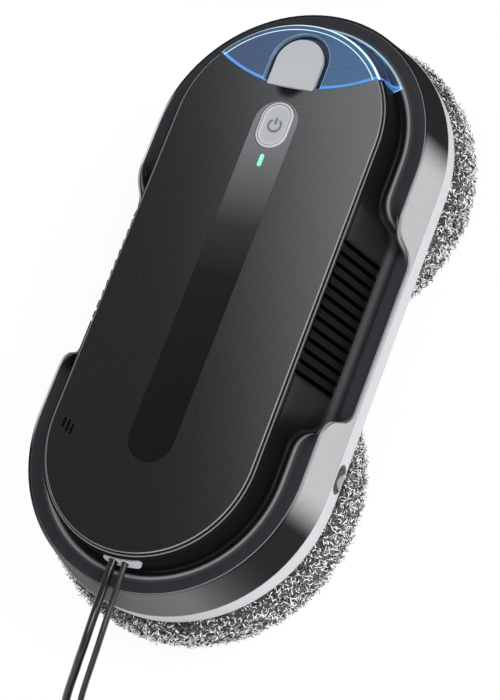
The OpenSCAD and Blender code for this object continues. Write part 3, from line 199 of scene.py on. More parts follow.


# A paler grey for the lid's bevel: a painted highlight along its edge.
edge_highlight_grey = plastic("edge_highlight_grey", (0.15, 0.15, 0.155), 0.35, grain=0.0005, depth=0.000005)
# Near black with almost no shine: painted shade for the slots' walls and the plates behind them.
slot_shade_black = plastic("slot_shade_black", (0.001, 0.001, 0.001), 0.8, Specular_IOR_Level=0.05)
strip_grey = plastic("strip_grey", (0.44, 0.445, 0.45), 0.45)
dark_grey = plastic("dark_grey", (0.05, 0.05, 0.055), 0.5)
bezel_grey = plastic("bezel_grey", (0.42, 0.43, 0.45), 0.35)
acetal = plastic("acetal", (0.72, 0.70, 0.64), 0.4)
black_rubber = plastic("black_rubber", (0.012, 0.012, 0.012), 0.6)
cell_wrap = plastic("cell_wrap", (0.04, 0.16, 0.42), 0.25)
hose_clear = plastic("hose_clear", (0.55, 0.66, 0.74), 0.3)
cord_black = plastic("cord_black", (0.003, 0.003, 0.003), 0.16, grain=0.0015, depth=0.00001)
silicone = plastic("silicone", (0.35, 0.355, 0.365), 0.5, grain=0.0005, cloud=0.2)
print("plastics ready")

# %% [markdown]
# Metal shows its making: a lathe or a roll leaves fine lines, and the highlight smears across them. The
# lines are noise stretched along one axis, in the roughness and in a shallow bump.

# %% Metals
def metal(name, color, roughness):
    finish = Finish(name, color, roughness, Metallic=1.0)
    lines = finish.noise(0.0006, 3, 0.6, (1, 1, 0.05))
    finish.feed("Base Color", finish.blend([c * 0.85 for c in color], color, lines))
    finish.feed("Roughness", roughness - 0.08 + 0.16 * lines)
    return finish.bump(lines, 0.00001)


steel = metal("steel", (0.34, 0.345, 0.36), 0.38)
motor_can = metal("motor_can", (0.38, 0.39, 0.41), 0.35)
bronze = metal("bronze", (0.55, 0.40, 0.18), 0.4)
print("metals ready")

# %% [markdown]
# A circuit board is woven glass under green lacquer, with copper lines that show through it. The borders
# of square cells stand for the lines. Hook tape is a field of small stiff dots.

# %% Circuit board and hook tape
def make_board():
    finish = Finish("board_green", (0.01, 0.09, 0.04), 0.35)
    sockets = {"Vector": finish.place((300, 300, 1)), "Scale": 1}
    cells = finish.add("ShaderNodeTexVoronoi", {"distance": "CHEBYCHEV"}, sockets, out="Distance")
    lines = cells.between(0.42, 0.46)
    finish.feed("Base Color", finish.blend((0.008, 0.08, 0.035), (0.03, 0.20, 0.09), lines))
    return finish.bump(lines, 0.00003)


def make_hook_tape():
    finish = Finish("hook_tape", (0.02, 0.02, 0.022), 0.8)
    sockets = {"Vector": finish.place((900, 900, 900)), "Scale": 1}
    dots = finish.add("ShaderNodeTexVoronoi", {}, sockets)
    shade = dots.between(0.2, 0.6)
    finish.feed("Base Color", finish.blend((0.05, 0.05, 0.055), (0.008, 0.008, 0.009), shade))
    return finish.bump(1 - dots, 0.0004)


board_green, hook_tape = make_board(), make_hook_tape()
print("board and tape ready")

# %% [markdown]
# ## Sizes
# The shell and the lid are racetracks: two half circles joined by straight sides. The lid's half circles
# have a smaller radius and lie a little further out. All sizes here are in metres. A name with HALF is half
# the length of a racetrack's straight side, R is a radius, Y a place along the body and Z a height.

# %% Sizes
MM = 0.001
BODY_HALF, COVER_HALF = 72.3 * MM, 75.3 * MM
LIP_R, LIP_IN_R, COVER_R = 50.4 * MM, 49.5 * MM, 49.2 * MM
STRIP_Z, LEDGE_Z, SHOULDER_Z = 38.2 * MM, 39.6 * MM, 56.9 * MM
DECK_Z, LIP_Z, TOP_Z = 70 * MM, 70.6 * MM, 72 * MM
WALL_FOOT_R, WALL_LEAN, FLANK_LEAN = 69.15 * MM, 3.8 / 18.7, 8 / 27
MOP_Y, BUTTON_Y = 74.5 * MM, 75 * MM
TANK_ARC_R = 76 * MM
TANK_ARC_Y = 94.2 * MM + TANK_ARC_R
print("racetrack", round(2 * (BODY_HALF + WALL_FOOT_R) / MM), "mm long at its foot")

# %% [markdown]
# ## Mesh helpers
# Each helper starts a bmesh, fills it with operators and leaves a finished object at the origin. An
# oblong is a circle whose two halves are moved apart, and a solid of oblongs is a stack of them, bridged.

# %% Mesh helpers
def loose_object(name, bm):
    """A cutter, the floor, or the start of a piece."""
    bmesh.ops.recalc_face_normals(bm, faces=bm.faces)
    mesh = bpy.data.meshes.new(name)
    bm.to_mesh(mesh)
    bm.free()
    return add_object(name, mesh)


def finish_object(name, bm, materials, body="housing", smooth=40):
    """A visible piece that rides on a body. Edges sharper than smooth degrees stay sharp."""
    bmesh.ops.remove_doubles(bm, verts=bm.verts, dist=1e-7)
    made = loose_object(name, bm)
    for finish in materials:
        made.data.materials.append(finish.material)
    made.data.shade_smooth()
    made.data.set_sharp_from_angle(angle=math.radians(smooth))
    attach(made, body)
    print(name, len(made.data.polygons), "faces")
    return made


def oblong(bm, half, radius, z, centre=(0, 0), segments=64):
    """The edges of a flat oblong along Y, at height z."""
    verts = bmesh.ops.create_circle(bm, radius=radius, segments=segments, cap_ends=False,
                                    matrix=Matrix.Rotation(math.pi / segments, 4, "Z"))["verts"]
    for vert in verts:
        vert.co.y += math.copysign(half, vert.co.y)
        vert.co += Vector((centre[0], centre[1], z))
    return list({edge for vert in verts for edge in vert.link_edges})


def stack(bm, rings, centre=(0, 0), segments=64):
    """A solid of oblongs given as (half length of the straight, radius, height), first to last."""
    loops = [oblong(bm, *ring, centre, segments) for ring in rings]
    for first, second in zip(loops, loops[1:]):
        bmesh.ops.bridge_loops(bm, edges=first + second)
    for loop in (loops[0], loops[-1]):
        bmesh.ops.contextual_create(bm, geom=loop)


def cut_away(target, cutter):
    """Takes the cutter's shape out of the target. The cut's faces get the cutter's material."""
    modifier = target.modifiers.new("cut", "BOOLEAN")
    modifier.operation, modifier.object, modifier.solver = "DIFFERENCE", cutter, "MANIFOLD"
    modifier.material_mode = "TRANSFER"
    evaluated = target.evaluated_get(bpy.context.evaluated_depsgraph_get())
    cut = bpy.data.meshes.new_from_object(evaluated)
    target.modifiers.remove(modifier)
    old, target.data = target.data, cut
    bpy.data.meshes.remove(old)
    bpy.data.objects.remove(cutter)


print("mesh helpers ready")

# %% [markdown]
# ## Cords
# The power lead and the thinner safety rope leave the plate in the rear flank side by side, stand out for
# a moment and fall in one curve to the floor. What the picture doesn't show is wound into flat coils. Each
# cord is one curve: a smooth line through the route's points, the coil's turns, and the tail to its far
# end. The routes and coils are in millimetres.

# %% Cord routes
LEAD_THICK, ROPE_THICK = 3.8, 2.8
LEAD_RUN = [
    (0.5, -122.5, 64.7), (0.5, -127, 64.7), (0.5, -133, 64.7), (0.5, -139, 64.2), (0, -145, 62.7),
    (-1.4, -151, 59.7), (-3.3, -157, 55.7), (-5.7, -163, 50.7), (-8.8, -168.6, 44.7),
    (-12, -174.4, 38.2), (-15.6, -180.3, 31.2), (-18.6, -186.3, 24.5), (-20.4, -192.5, 18),
    (-21.2, -199, 12.2), (-21.1, -206, 7.4), (-20.4, -213.5, 4.1), (-19.4, -221, 2.3),
    (-18.7, -228, 1.9), (-18.5, -233, 1.9),
]
ROPE_RUN = [
    (6.2, -122.5, 64.7), (6.2, -127, 64.7), (6.4, -132, 64.7), (6.5, -137.7, 64.2),
    (6, -143.6, 62.7), (4.7, -149.4, 59.7), (2.9, -155.2, 55.7), (0.6, -161, 50.7),
    (-2.3, -166.6, 44.7), (-5.5, -172.4, 38.2), (-8.9, -178.2, 31.2), (-11.9, -184.1, 24.4),
    (-13.3, -190, 17.8), (-13.2, -196, 11.6), (-12, -202.5, 6.4), (-10.1, -209, 3),
    (-8.3, -215, 1.5), (-7.2, -219.5, 1.4), (-7, -222, 1.4),
]
LEAD_TAIL = [
    (-18.5, -238, 6.2), (-18.5, -242, 6), (-18.5, -247, 5.6), (-18.5, -252, 5.2), (-18.5, -256, 5.2),
]
ROPE_TAIL = [
    (-7, -229, 11.3), (-6.8, -234, 11.3), (-6.2, -239, 11), (-5.2, -244, 9.4), (-4, -249, 7),
    (-2.8, -254, 4.6), (-1.8, -259, 2.9), (-1.2, -264, 2.2), (-1, -268, 2.2),
]


def smooth_line(points, steps=4):
    """More points on a smooth line through the given ones."""
    points = [Vector(p) for p in points]
    ends = [2 * points[0] - points[1], *points, 2 * points[-1] - points[-2]]
    line = []
    for a, b, c, d in zip(ends, ends[1:], ends[2:], ends[3:]):
        for k in range(steps):
            t = k / steps
            line.append(0.5 * (2 * b + (c - a) * t + (2 * a - 5 * b + 4 * c - d) * t * t
                               + (3 * b - a - 3 * c + d) * t ** 3))
    return line + [points[-1]]


def coil(centre, outer, thick, turns, layers, start, turn, steps=36):
    """Turns that spiral in and out again, and climb one layer where they reverse.

    outer is the outer turn's radius, start the first angle in degrees, and turn 1 or -1.
    """
    pitch, line = thick + 0.5, []
    for i in range(turns * layers * steps + 1):
        u = i / steps
        layer = min(int(u / turns), layers - 1)
        along = u - layer * turns
        inward = along if layer % 2 == 0 else turns - along
        near = round(u / turns)
        step = min(near, layers - 1)
        if 0 < near < layers:
            s = max(-0.25, min(0.25, u - near * turns)) * 2 + 0.5
            step = near - 1 + s * s * (3 - 2 * s)
        r = outer - inward * pitch
        angle = math.radians(start + turn * 360 * u)
        line.append(Vector((centre[0] + r * math.cos(angle), centre[1] + r * math.sin(angle),
                            thick / 2 + step * pitch)))
    return line


def make_cord(name, points, thick, finish, **facts):
    """A round cord along the points, which leaves the housing at the first of them."""
    data = bpy.data.curves.new(name, "CURVE")
    data.dimensions, data.bevel_depth, data.bevel_resolution = "3D", thick / 2, 3
    data.use_fill_caps = True
    spline = data.splines.new("POLY")
    spline.points.add(len(points) - 1)
    for spot, p in zip(spline.points, points):
        spot.co = (*p, 1)
    spline.use_smooth = True
    data.materials.append(finish.material)
    length = sum((b - a).length for a, b in zip(points, points[1:]))
    cord = add_object(name, data)
    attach(cord, "housing")
    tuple(points[0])
    print(name, round(length, 3), "m")
    return cord


# %% Power lead and safety rope
rope_black = plastic("rope_black", (0.010, 0.010, 0.010), 0.3, grain=0.0007, depth=0.00008)
lead_coil = coil((-48.5, -234), outer=30, thick=LEAD_THICK, turns=3, layers=2, start=0, turn=-1)
rope_coil = coil((29, -224), outer=36, thick=ROPE_THICK, turns=6, layers=4, start=180, turn=1)
lead_line = [p * MM for p in smooth_line(LEAD_RUN)[:-1] + lead_coil + smooth_line(LEAD_TAIL)]
rope_line = [p * MM for p in smooth_line(ROPE_RUN)[:-1] + rope_coil + smooth_line(ROPE_TAIL)]
lead = make_cord("power_lead_cord", lead_line, LEAD_THICK * MM, cord_black, far_end="plug",
                 with_pieces=[nodes["lead_plug"]])
rope = make_cord("safety_rope_cord", rope_line, ROPE_THICK * MM, rope_black, far_end="fitting",
                 with_pieces=[nodes["snap_hook"], nodes["hook_gate"]])
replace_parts(lead, "power_lead", "power_lead_coil")
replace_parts(rope, "safety_rope", "safety_rope_coil")

# %% [markdown]
# ## The upper shell
# The shell's outer skin is one band of faces that runs round the body. Its section is a wall, a flat
# shoulder with a rounded inner crest, a gutter, a steep flank and a thin lip. In each long side the shoulder
# drops to a ledge and the gutter opens to a wide hollow, which makes the finger recess. So the section is
# worked out anew at each station and extruded to it. Most of its sizes run from one value at full height to
# another at the ledge.

# %% Section of the shell
LIP_ROUND = 0.35 * MM


def dropped(height):
    """How far the shoulder has come down: 0 at its full height and 1 at the ledge."""
    return (SHOULDER_Z - height) / (SHOULDER_Z - LEDGE_Z)


def mixed(shoulder_value, ledge_value, drop):
    return shoulder_value + (ledge_value - shoulder_value) * drop


def mixed_point(first, second, share):
    return tuple(a + (b - a) * share for a, b in zip(first, second))


def arc(centre, radius, start, end, steps):
    """Points (distance, height) on an arc between two angles in degrees."""
    angles = [math.radians(start + (end - start) * k / steps) for k in range(steps + 1)]
    return [(centre[0] + radius * math.cos(a), centre[1] + radius * math.sin(a)) for a in angles]


def section(outer, inner):
    """Points (distance from the axis, height, half length of the straight) from the wall to the lip.

    outer and inner are the shoulder's heights at the wall and at the crest.
    """
    drop, edge = dropped(inner), dropped(outer)
    lean = mixed(0.16, FLANK_LEAN, drop)
    tilt = math.degrees(math.atan(lean))
    fall = mixed(42, 0.5, drop)
    hollow, crest = mixed(2.0, 5.5, drop) * MM, mixed(3.2, 6.0, drop) * MM
    low = inner + drop * MM - (hollow + crest) * (1 - math.cos(math.radians(fall)))
    centre = LIP_R + hollow * math.hypot(1, lean) - (low + hollow - LIP_Z) * lean
    crest_at = centre + (hollow + crest) * math.sin(math.radians(fall))
    wall = WALL_FOOT_R - (outer - STRIP_Z) * WALL_LEAN
    rounding = (mixed(0.4, 1.0, edge) + 6 * edge * (1 - edge)) * MM
    points = [(WALL_FOOT_R, STRIP_Z)]
    points += arc((wall - rounding, outer - rounding), rounding, 12, 90, 5)
    top = inner + drop * MM
    points += [mixed_point(points[-1], (crest_at, top), k / 4) for k in range(1, 4)]
    points += arc((crest_at, top - crest), crest, 90, 90 + fall, 8)
    points += arc((centre, low + hollow), hollow, -90 + fall, -180 + tilt, 14)
    foot, brim = points[-1][1], LIP_Z - LIP_ROUND
    heights = [foot + (brim - foot) * k / 4 for k in range(1, 5)]
    points += [(LIP_R + (LIP_Z - z) * lean, z) for z in heights]
    points += arc((LIP_R - LIP_ROUND, brim), LIP_ROUND, 22, 90, 4)
    points += [(LIP_IN_R, LIP_Z), (LIP_IN_R, DECK_Z - 0.5 * MM)]
    shares = [max(0, min(1, (r - LIP_R) / (wall - LIP_R))) for r, z in points]
    return [(r, z, mixed(COVER_HALF, BODY_HALF, share)) for (r, z), share in zip(points, shares)]


def section_tones(outer, inner):
    """One tone for each point of the section: 0 black, 0.25 charcoal, 1 light grey. Tones above charcoal are
    painted highlights.
    """
    drop, edge = dropped(inner), dropped(outer)
    ramp = 4 * edge * (1 - edge)
    # Painted highlight along the wall's rounded top edge, brighter where the wall climbs the ramp.
    rim = zip((0.25, 0.9, 0.9, 0.6, 0.3, 0.25), (0, 0.4, 1, 1, 0.6, 0.3))
    # Painted highlight along the crest, fading out in the recess.
    crest = [0.24 + 0.66 * min(1, 1.5 * math.sin(math.pi * (k + 0.5) / 9)) for k in range(9)]
    # From the crest a painted highlight fades into the gutter; in the recess a soft painted highlight runs
    # along the hollow.
    gutter = [(max(0.01, 0.42 - 0.1 * k), 0.1 + 0.26 * math.sin(math.pi * k / 14) ** 2)
              for k in range(15)]
    tones = [0.25] + [mixed(line, 0.2, edge) + 0.45 * ramp * glow for line, glow in rim] + [0.25] * 3
    tones += [mixed(tone, 0.22, drop) for tone in crest]
    tones += [mixed(*pair, drop) for pair in gutter]
    # The flank is black outside the recess and carries painted highlights inside it.
    tones += [mixed(0.02, tone, drop) for tone in (0.1, 0.1, 0.12, 0.25)]
    # Painted highlight along the lip's rounding.
    lip = [0.1, 0.6, 0.75, 0.75, 0.6, 0.3, 0.05]
    return tones + lip


# %% [markdown]
# Towards each end of a finger recess the ledge climbs back to the shoulder on a ramp: a hollow arc, a steep
# straight line and a crowned arc that meet without a kink.

# %% Ramps
RAMP_START, TOP_R, LOW_R, RAMP_ANGLE = 33 * MM, 11 * MM, 8 * MM, math.radians(70)
ARCS_RISE = (TOP_R + LOW_R) * (1 - math.cos(RAMP_ANGLE))
RAMP_LINE = (SHOULDER_Z - LEDGE_Z - ARCS_RISE) / math.sin(RAMP_ANGLE)
RAMP_END = RAMP_START + (TOP_R + LOW_R) * math.sin(RAMP_ANGLE) + RAMP_LINE * math.cos(RAMP_ANGLE)
LINE_START = RAMP_START + LOW_R * math.sin(RAMP_ANGLE)
LINE_END = RAMP_END - TOP_R * math.sin(RAMP_ANGLE)


def shoulder_at(y):
    """Height of the shoulder at a distance y from the body's middle."""
    if y <= RAMP_START:
        return LEDGE_Z
    if y < LINE_START:
        return LEDGE_Z + LOW_R - math.sqrt(LOW_R ** 2 - (y - RAMP_START) ** 2)
    if y < LINE_END:
        return LEDGE_Z + LOW_R * (1 - math.cos(RAMP_ANGLE)) + (y - LINE_START) * math.tan(RAMP_ANGLE)
    if y < RAMP_END:
        return SHOULDER_Z - TOP_R + math.sqrt(TOP_R ** 2 - (RAMP_END - y) ** 2)
    return SHOULDER_Z


def ramp_stations():
    """Places along the body, close together where the ramp is steep."""
    places = [0, 10 * MM, 20 * MM, 26 * MM, 30 * MM]
    places += [RAMP_START + (LINE_START - RAMP_START) * k / 10 for k in range(11)]
    places += [LINE_START + (RAMP_END - LINE_START) * k / 24 for k in range(1, 25)]
    return places + [RAMP_END + k * MM for k in (1, 2, 3, 4, 5, 6, 8)] + [BODY_HALF - 6 * MM]


print("ramp ends at", round(RAMP_END / MM, 2), "mm")

# %% [markdown]
# The skin is drawn for a quarter of the body, one station after the other, and mirrored twice. Each point
# carries a tone, which the shell's finish turns into its colour and roughness. The pale tones are painted
# highlights along the wall's top edge, the crest, the lip and the recess's hollow and flank.

# %% The skin
INNER_SHIFT = 7 * MM


def straight_station(y):
    """The section at y. The ramp lies a little further out at the crest than at the wall."""
    heights = shoulder_at(y), shoulder_at(max(0, y - INNER_SHIFT))
    return [Vector((r, y, z)) for r, z, _ in section(*heights)], section_tones(*heights)


def end_station(angle):
    """The section at an angle round the end's arc."""
    points = [Vector((r * math.cos(angle), half + r * math.sin(angle), z))
              for r, z, half in section(SHOULDER_Z, SHOULDER_Z)]
    return points, section_tones(SHOULDER_Z, SHOULDER_Z)


def make_skin():
    """The open skin of the whole shell, with the tone of every point."""
    quarter = [straight_station(y) for y in ramp_stations()]
    quarter += [end_station(math.pi / 2 * k / 28) for k in range(29)]
    bm = bmesh.new()
    layer = bm.verts.layers.float.new("tone")
    verts = [bm.verts.new(p) for p in quarter[0][0]]
    edges = [bm.edges.new(pair) for pair in zip(verts, verts[1:])]
    for vert, tone in zip(verts, quarter[0][1]):
        vert[layer] = tone
    for points, tones in quarter[1:]:
        grown = bmesh.ops.extrude_edge_only(bm, edges=edges)["geom"]
        edges = [e for e in grown if isinstance(e, bmesh.types.BMEdge)]
        fresh = {v for v in grown if isinstance(v, bmesh.types.BMVert)}
        verts = [next(e.other_vert(old) for e in old.link_edges if e.other_vert(old) in fresh)
                 for old in verts]
        for vert, point, tone in zip(verts, points, tones):
            vert.co, vert[layer] = point, tone
    for axis in ("X", "Y"):
        bmesh.ops.mirror(bm, geom=bm.verts[:] + bm.edges[:] + bm.faces[:], axis=axis, merge_dist=1e-6)
    bmesh.ops.recalc_face_normals(bm, faces=bm.faces)
    if sum(f.normal.z for f in bm.faces) < 0:
        bmesh.ops.reverse_faces(bm, faces=bm.faces)
    print(len(quarter[0][0]), "points in the section,", len(quarter[0][1]), "tones")
    return bm


def make_shell_finish():
    """Gloss black in the hollows, satin charcoal on the shoulder, and paler where the tones paint
    highlights.
    """
    finish = Finish("shell_black", (0.01, 0.01, 0.01), 0.4, Specular_IOR_Level=0.07)
    tone = finish.add("ShaderNodeAttribute", {"attribute_name": "tone"}, out="Fac")
    tones = [(0.0, (0.002, 0.002, 0.0022)), (0.25, (0.023, 0.024, 0.026)), (0.5, (0.075, 0.076, 0.078)),
             (0.8, (0.25, 0.25, 0.252)), (1.0, (0.34, 0.34, 0.345))]
    clouds = finish.noise(0.03, 3)
    finish.feed("Base Color", finish.ramp(tones, tone))
    finish.feed("Roughness", 0.34 + 0.25 * tone.between(0.05, 0.3) + 0.06 * clouds)
    return finish.bump(finish.noise(0.0003, 2), 0.00001)


skin = finish_object("shell_skin", make_skin(), [make_shell_finish(), slot_shade_black])

# %% [markdown]
# The skin gets a wall two millimetres thick. The vent slots and the tank's room are then cut out of it.

# %% Thickness, slots and cut-outs
SLOTS, SLOT_STEP, SLOT_R = 13, 5 * MM, 1.05 * MM
SLOT_LOW, SLOT_HIGH = LEDGE_Z + 3.6 * MM, TOP_Z - 2.2 * MM
REACH = 70 * MM
TANK_ROOM_R = 56.6 * MM


def thicken(obj, amount):
    modifier = obj.modifiers.new("wall", "SOLIDIFY")
    modifier.thickness, modifier.offset = amount, -1
    evaluated = obj.evaluated_get(bpy.context.evaluated_depsgraph_get())
    obj.data = bpy.data.meshes.new_from_object(evaluated)
    obj.modifiers.remove(modifier)


def slot_cutter():
    """Upright slots that go right through both flanks."""
    bm = bmesh.new()
    half = (SLOT_HIGH - SLOT_LOW) / 2 - SLOT_R
    turn = Matrix.Rotation(math.pi / 2, 4, "Y") @ Matrix.Rotation(math.pi / 2, 4, "Z")
    for i in range(SLOTS):
        before = len(bm.verts)
        stack(bm, [(half, SLOT_R, -REACH), (half, SLOT_R, REACH)], segments=16)
        bm.verts.ensure_lookup_table()
        place = Matrix.Translation((0, (i - SLOTS // 2) * SLOT_STEP, (SLOT_LOW + SLOT_HIGH) / 2))
        bmesh.ops.transform(bm, matrix=place @ turn, verts=bm.verts[before:])
    slots = loose_object("slots", bm)
    slots.data.materials.append(slot_shade_black.material)
    return slots


def tank_outline(radius, grow, steps=40):
    """The lens between the lid's round end and the tank's arc, as points."""
    arc_r = TANK_ARC_R + grow
    reach = TANK_ARC_Y - COVER_HALF
    along = (reach * reach + radius * radius - arc_r * arc_r) / (2 * reach)
    half = math.acos(along / radius)
    inner = math.acos((reach - along) / arc_r)
    points = []
    for k in range(steps):
        a = math.pi / 2 - half + 2 * half * k / steps
        points.append((radius * math.cos(a), COVER_HALF + radius * math.sin(a)))
    for k in range(steps):
        a = -math.pi / 2 - inner + 2 * inner * k / steps
        points.append((arc_r * math.cos(a), TANK_ARC_Y + arc_r * math.sin(a)))
    return points


def extrude(bm, faces, height):
    grown = bmesh.ops.extrude_face_region(bm, geom=faces)["geom"]
    moved = [v for v in grown if isinstance(v, bmesh.types.BMVert)]
    bmesh.ops.translate(bm, vec=(0, 0, height), verts=moved)


def prism(bm, outline, low, high):
    extrude(bm, [bm.faces.new([bm.verts.new((x, y, low)) for x, y in outline])], high - low)


thicken(skin, 2 * MM)
# The slots' cut walls take the cutter's near-black finish: painted shade inside the slots.
cut_away(skin, slot_cutter())
bm = bmesh.new()
prism(bm, tank_outline(TANK_ROOM_R, 0.3 * MM), SHOULDER_Z + 0.02 * MM, TOP_Z + 5 * MM)
cut_away(skin, loose_object("tank_room", bm))
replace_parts(skin, "upper_shell")
print("shell skin", len(skin.data.polygons), "faces after the cuts")

# %% [markdown]
# Behind the slots of each flank stands a thin near-black plate, a dark sheet painted in as the shade inside
# the body.

# %% Shade screens
def make_screen(side):
    """A thin plate that leans as the flank does. side is 1 on the right and -1 on the left."""
    bm = bmesh.new()
    bmesh.ops.create_cube(bm, size=1, matrix=Matrix.Diagonal((0.4 * MM, 68 * MM, 29 * MM, 1)))
    lean = Matrix.Rotation(-side * math.atan(FLANK_LEAN), 4, "Y")
    place = Matrix.Translation((side * 50.8 * MM, 0, 56.2 * MM))
    bmesh.ops.transform(bm, matrix=place @ lean, verts=bm.verts)
    return finish_object("shade_screen_right" if side > 0 else "shade_screen_left", bm, [slot_shade_black])


make_screen(1)
make_screen(-1)

# %% [markdown]
# ## Finishes for the carried-over nodes
# The parts inside and the flat outer ones keep their CAD mesh and only get a finish.

# %% Finish every node
def both(*names):
    return [f"{name}_{end}" for name in names for end in ("front", "rear")]


NODE_FINISHES = {
    strip_grey: ["base_shell"],
    bezel_grey: ["cord_bezel"],
    silicone: ["filler_plug"],
    dark_grey: ["spray_nozzle_right", "spray_nozzle_left", "water_pump", "suction_duct", "fan_housing",
                "speaker", "cord_clamp", *both("cleaning_disc", "battery_tray")],
    acetal: ["fan_impeller", *both("disc_gear")],
    black_rubber: ["lead_plug", *both("hub_seal")],
    cell_wrap: both("battery_cell"),
    hose_clear: ["tank_hose", "spray_hose_right", "spray_hose_left"],
    steel: ["base_screws", "snap_hook", "hook_gate", *both("pinion")],
    motor_can: ["fan_motor", *both("drive_motor")],
    bronze: both("hub_bearing"),
    board_green: ["main_board", "button_board"],
    hook_tape: both("hook_ring"),
}


def finish_node(name, finish):
    mesh = nodes[name].data
    mesh.materials.clear()
    mesh.materials.append(finish.material)


for finish, names in NODE_FINISHES.items():
    for name in names:
        finish_node(name, finish)
print(sum(map(len, NODE_FINISHES.values())), "nodes finished")

# %% [markdown]
# ## Metallic wall
# The wall is lacquered metal. Its colour holds a painted reflection: bright silver on its straight sides
# and dark round its ends, as if it mirrored a bright room at the sides and a dark one at the ends, so the
# look holds from every side. The gradient follows the distance past the straight over the distance from the
# middle, which grows with the angle round the end's arc.

# %% Metallic wall
def make_wall_finish():
    finish = Finish("wall_metal", (0.5, 0.5, 0.5), 0.4, Specular_IOR_Level=0.0)
    across = finish.axis("X").absolute() + 4 * MM
    along = finish.axis("Y")
    front_share = (along - BODY_HALF) / across
    rear_share = (-BODY_HALF - along) / across
    # Painted reflection: 1 on the straight sides, painted bright silver, and 0 round the ends, painted dark.
    painted_reflection = 1 - front_share.between(0.02, 0.30).high(rear_share.between(-0.02, 0.28))
    # Far round the rear end the painted reflection lifts to a dark grey.
    rear_reflection_lift = rear_share.between(0.5, 1.8)
    grain = finish.noise(0.0006, 2, 0.7)
    tone = finish.blend((0.014, 0.014, 0.015), (0.45, 0.45, 0.455), painted_reflection)
    tone = finish.blend(tone, (0.12, 0.12, 0.122), rear_reflection_lift)
    # Bright flecks of the grain, only where the reflection is painted: partly paint flake, partly painted
    # glints.
    grain_and_glint = grain.between(0.45, 0.8) * painted_reflection * 0.32
    finish.feed("Base Color", finish.blend(tone, (0.9, 0.9, 0.9), grain_and_glint))
    finish.feed("Metallic", 0.75 * painted_reflection)
    finish.feed("Roughness", 0.40 + 0.12 * grain)
    return finish.bump(grain, 0.000006)


finish_node("silver_band", make_wall_finish())
print("wall finished")

# %% [markdown]
# ## Lid
# The lid is charcoal with a fine sparkling grain. Light and shade are painted into its colour: it is paler
# towards the tank on the right and darker towards the cords, near black in its scoop and slots as painted
# shade, and its rim has a narrow bevel in a paler grey as a painted highlight.

# %% Lid finish
BEVEL_SLOPES = 0.5, 0.85


def make_lid_finish():
    finish = Finish("lid_charcoal", (0.02, 0.02, 0.02), 0.55, Specular_IOR_Level=0.1)
    # Painted light: the colour is lighter towards the tank and darker towards the cords.
    slope = finish.axis("Y") * 0.7 + finish.axis("X") * 1.5
    glow = slope.between(-0.11, 0.15) ** 2.3
    grain = finish.noise(0.00055, 2, 0.8)
    tone = finish.blend((0.006, 0.0065, 0.007), (0.105, 0.106, 0.108), glow)
    # Sparkle of the grain, stronger where the light is painted.
    grain_and_glint = grain.between(0.45, 0.8) * 0.34 * (0.25 + 0.75 * glow)
    tone = finish.blend(tone, (0.22, 0.22, 0.22), grain_and_glint)
    # Painted shade: below the top, in the scoop and the slots, the colour goes near black.
    above_recess_shade = finish.axis("Z").between(TOP_Z - 1.1 * MM, TOP_Z - 0.05 * MM)
    finish.feed("Base Color", finish.blend((0.002, 0.002, 0.002), tone, above_recess_shade))
    finish.feed("Roughness", 0.5 + 0.1 * grain)
    return finish.bump(grain, 0.00004)


finish_node("top_cover", make_lid_finish())
lid_mesh = nodes["top_cover"].data
# The bevel's faces get the paler grey, a painted highlight along the lid's edge.
lid_mesh.materials.append(edge_highlight_grey.material)
bevel = [face for face in lid_mesh.polygons
         if BEVEL_SLOPES[0] < face.normal.z < BEVEL_SLOPES[1] and face.center.z > TOP_Z - 0.5 * MM]
for face in bevel:
    face.material_index = 1
print(len(bevel), "faces in the lid's bevel")

# %% [markdown]
# ## Inlay strip
# The strip is silver grey beside the button and fades to black at its far end, as a tinted window does.

# %% Inlay
def make_inlay_finish():
    finish = Finish("inlay_fade", (0.1, 0.1, 0.1), 0.4, Specular_IOR_Level=0.1)
    fade = finish.axis("Y").between(-0.070, 0.095)
    tones = [(0.0, (0.0015, 0.0015, 0.0015)), (0.4, (0.004, 0.004, 0.004)),
             (0.62, (0.02, 0.02, 0.021)), (0.82, (0.085, 0.085, 0.087)), (1.0, (0.16, 0.16, 0.165))]
    finish.feed("Base Color", finish.ramp(tones, fade))
    return finish.bump(finish.noise(0.0003, 2), 0.00001)


finish_node("inlay_strip", make_inlay_finish())
print("inlay finished")

# %% [markdown]
# A small light guide beside the button glows a soft green.

# %% Light guide
def make_led_finish():
    finish = Finish("led_green", (0.14, 0.50, 0.34), 0.3, Emission_Strength=0.45)
    glow = finish.noise(0.004, 1)
    finish.feed("Emission Color", finish.blend((0.12, 0.65, 0.32), (0.3, 0.9, 0.6), glow))
    return finish


finish_node("led_lens", make_led_finish())
print("light guide finished")

# %% [markdown]
# ## Power button
# A dished oblong with a rounded rim. The icon is the usual broken ring with a stroke in its gap.

# %% Button
BUTTON_HALF, BUTTON_R, BUTTON_Z = 3.45 * MM, 7.75 * MM, TOP_Z + 0.3 * MM
icon_grey = plastic("icon_grey", (0.10, 0.10, 0.105), 0.4)


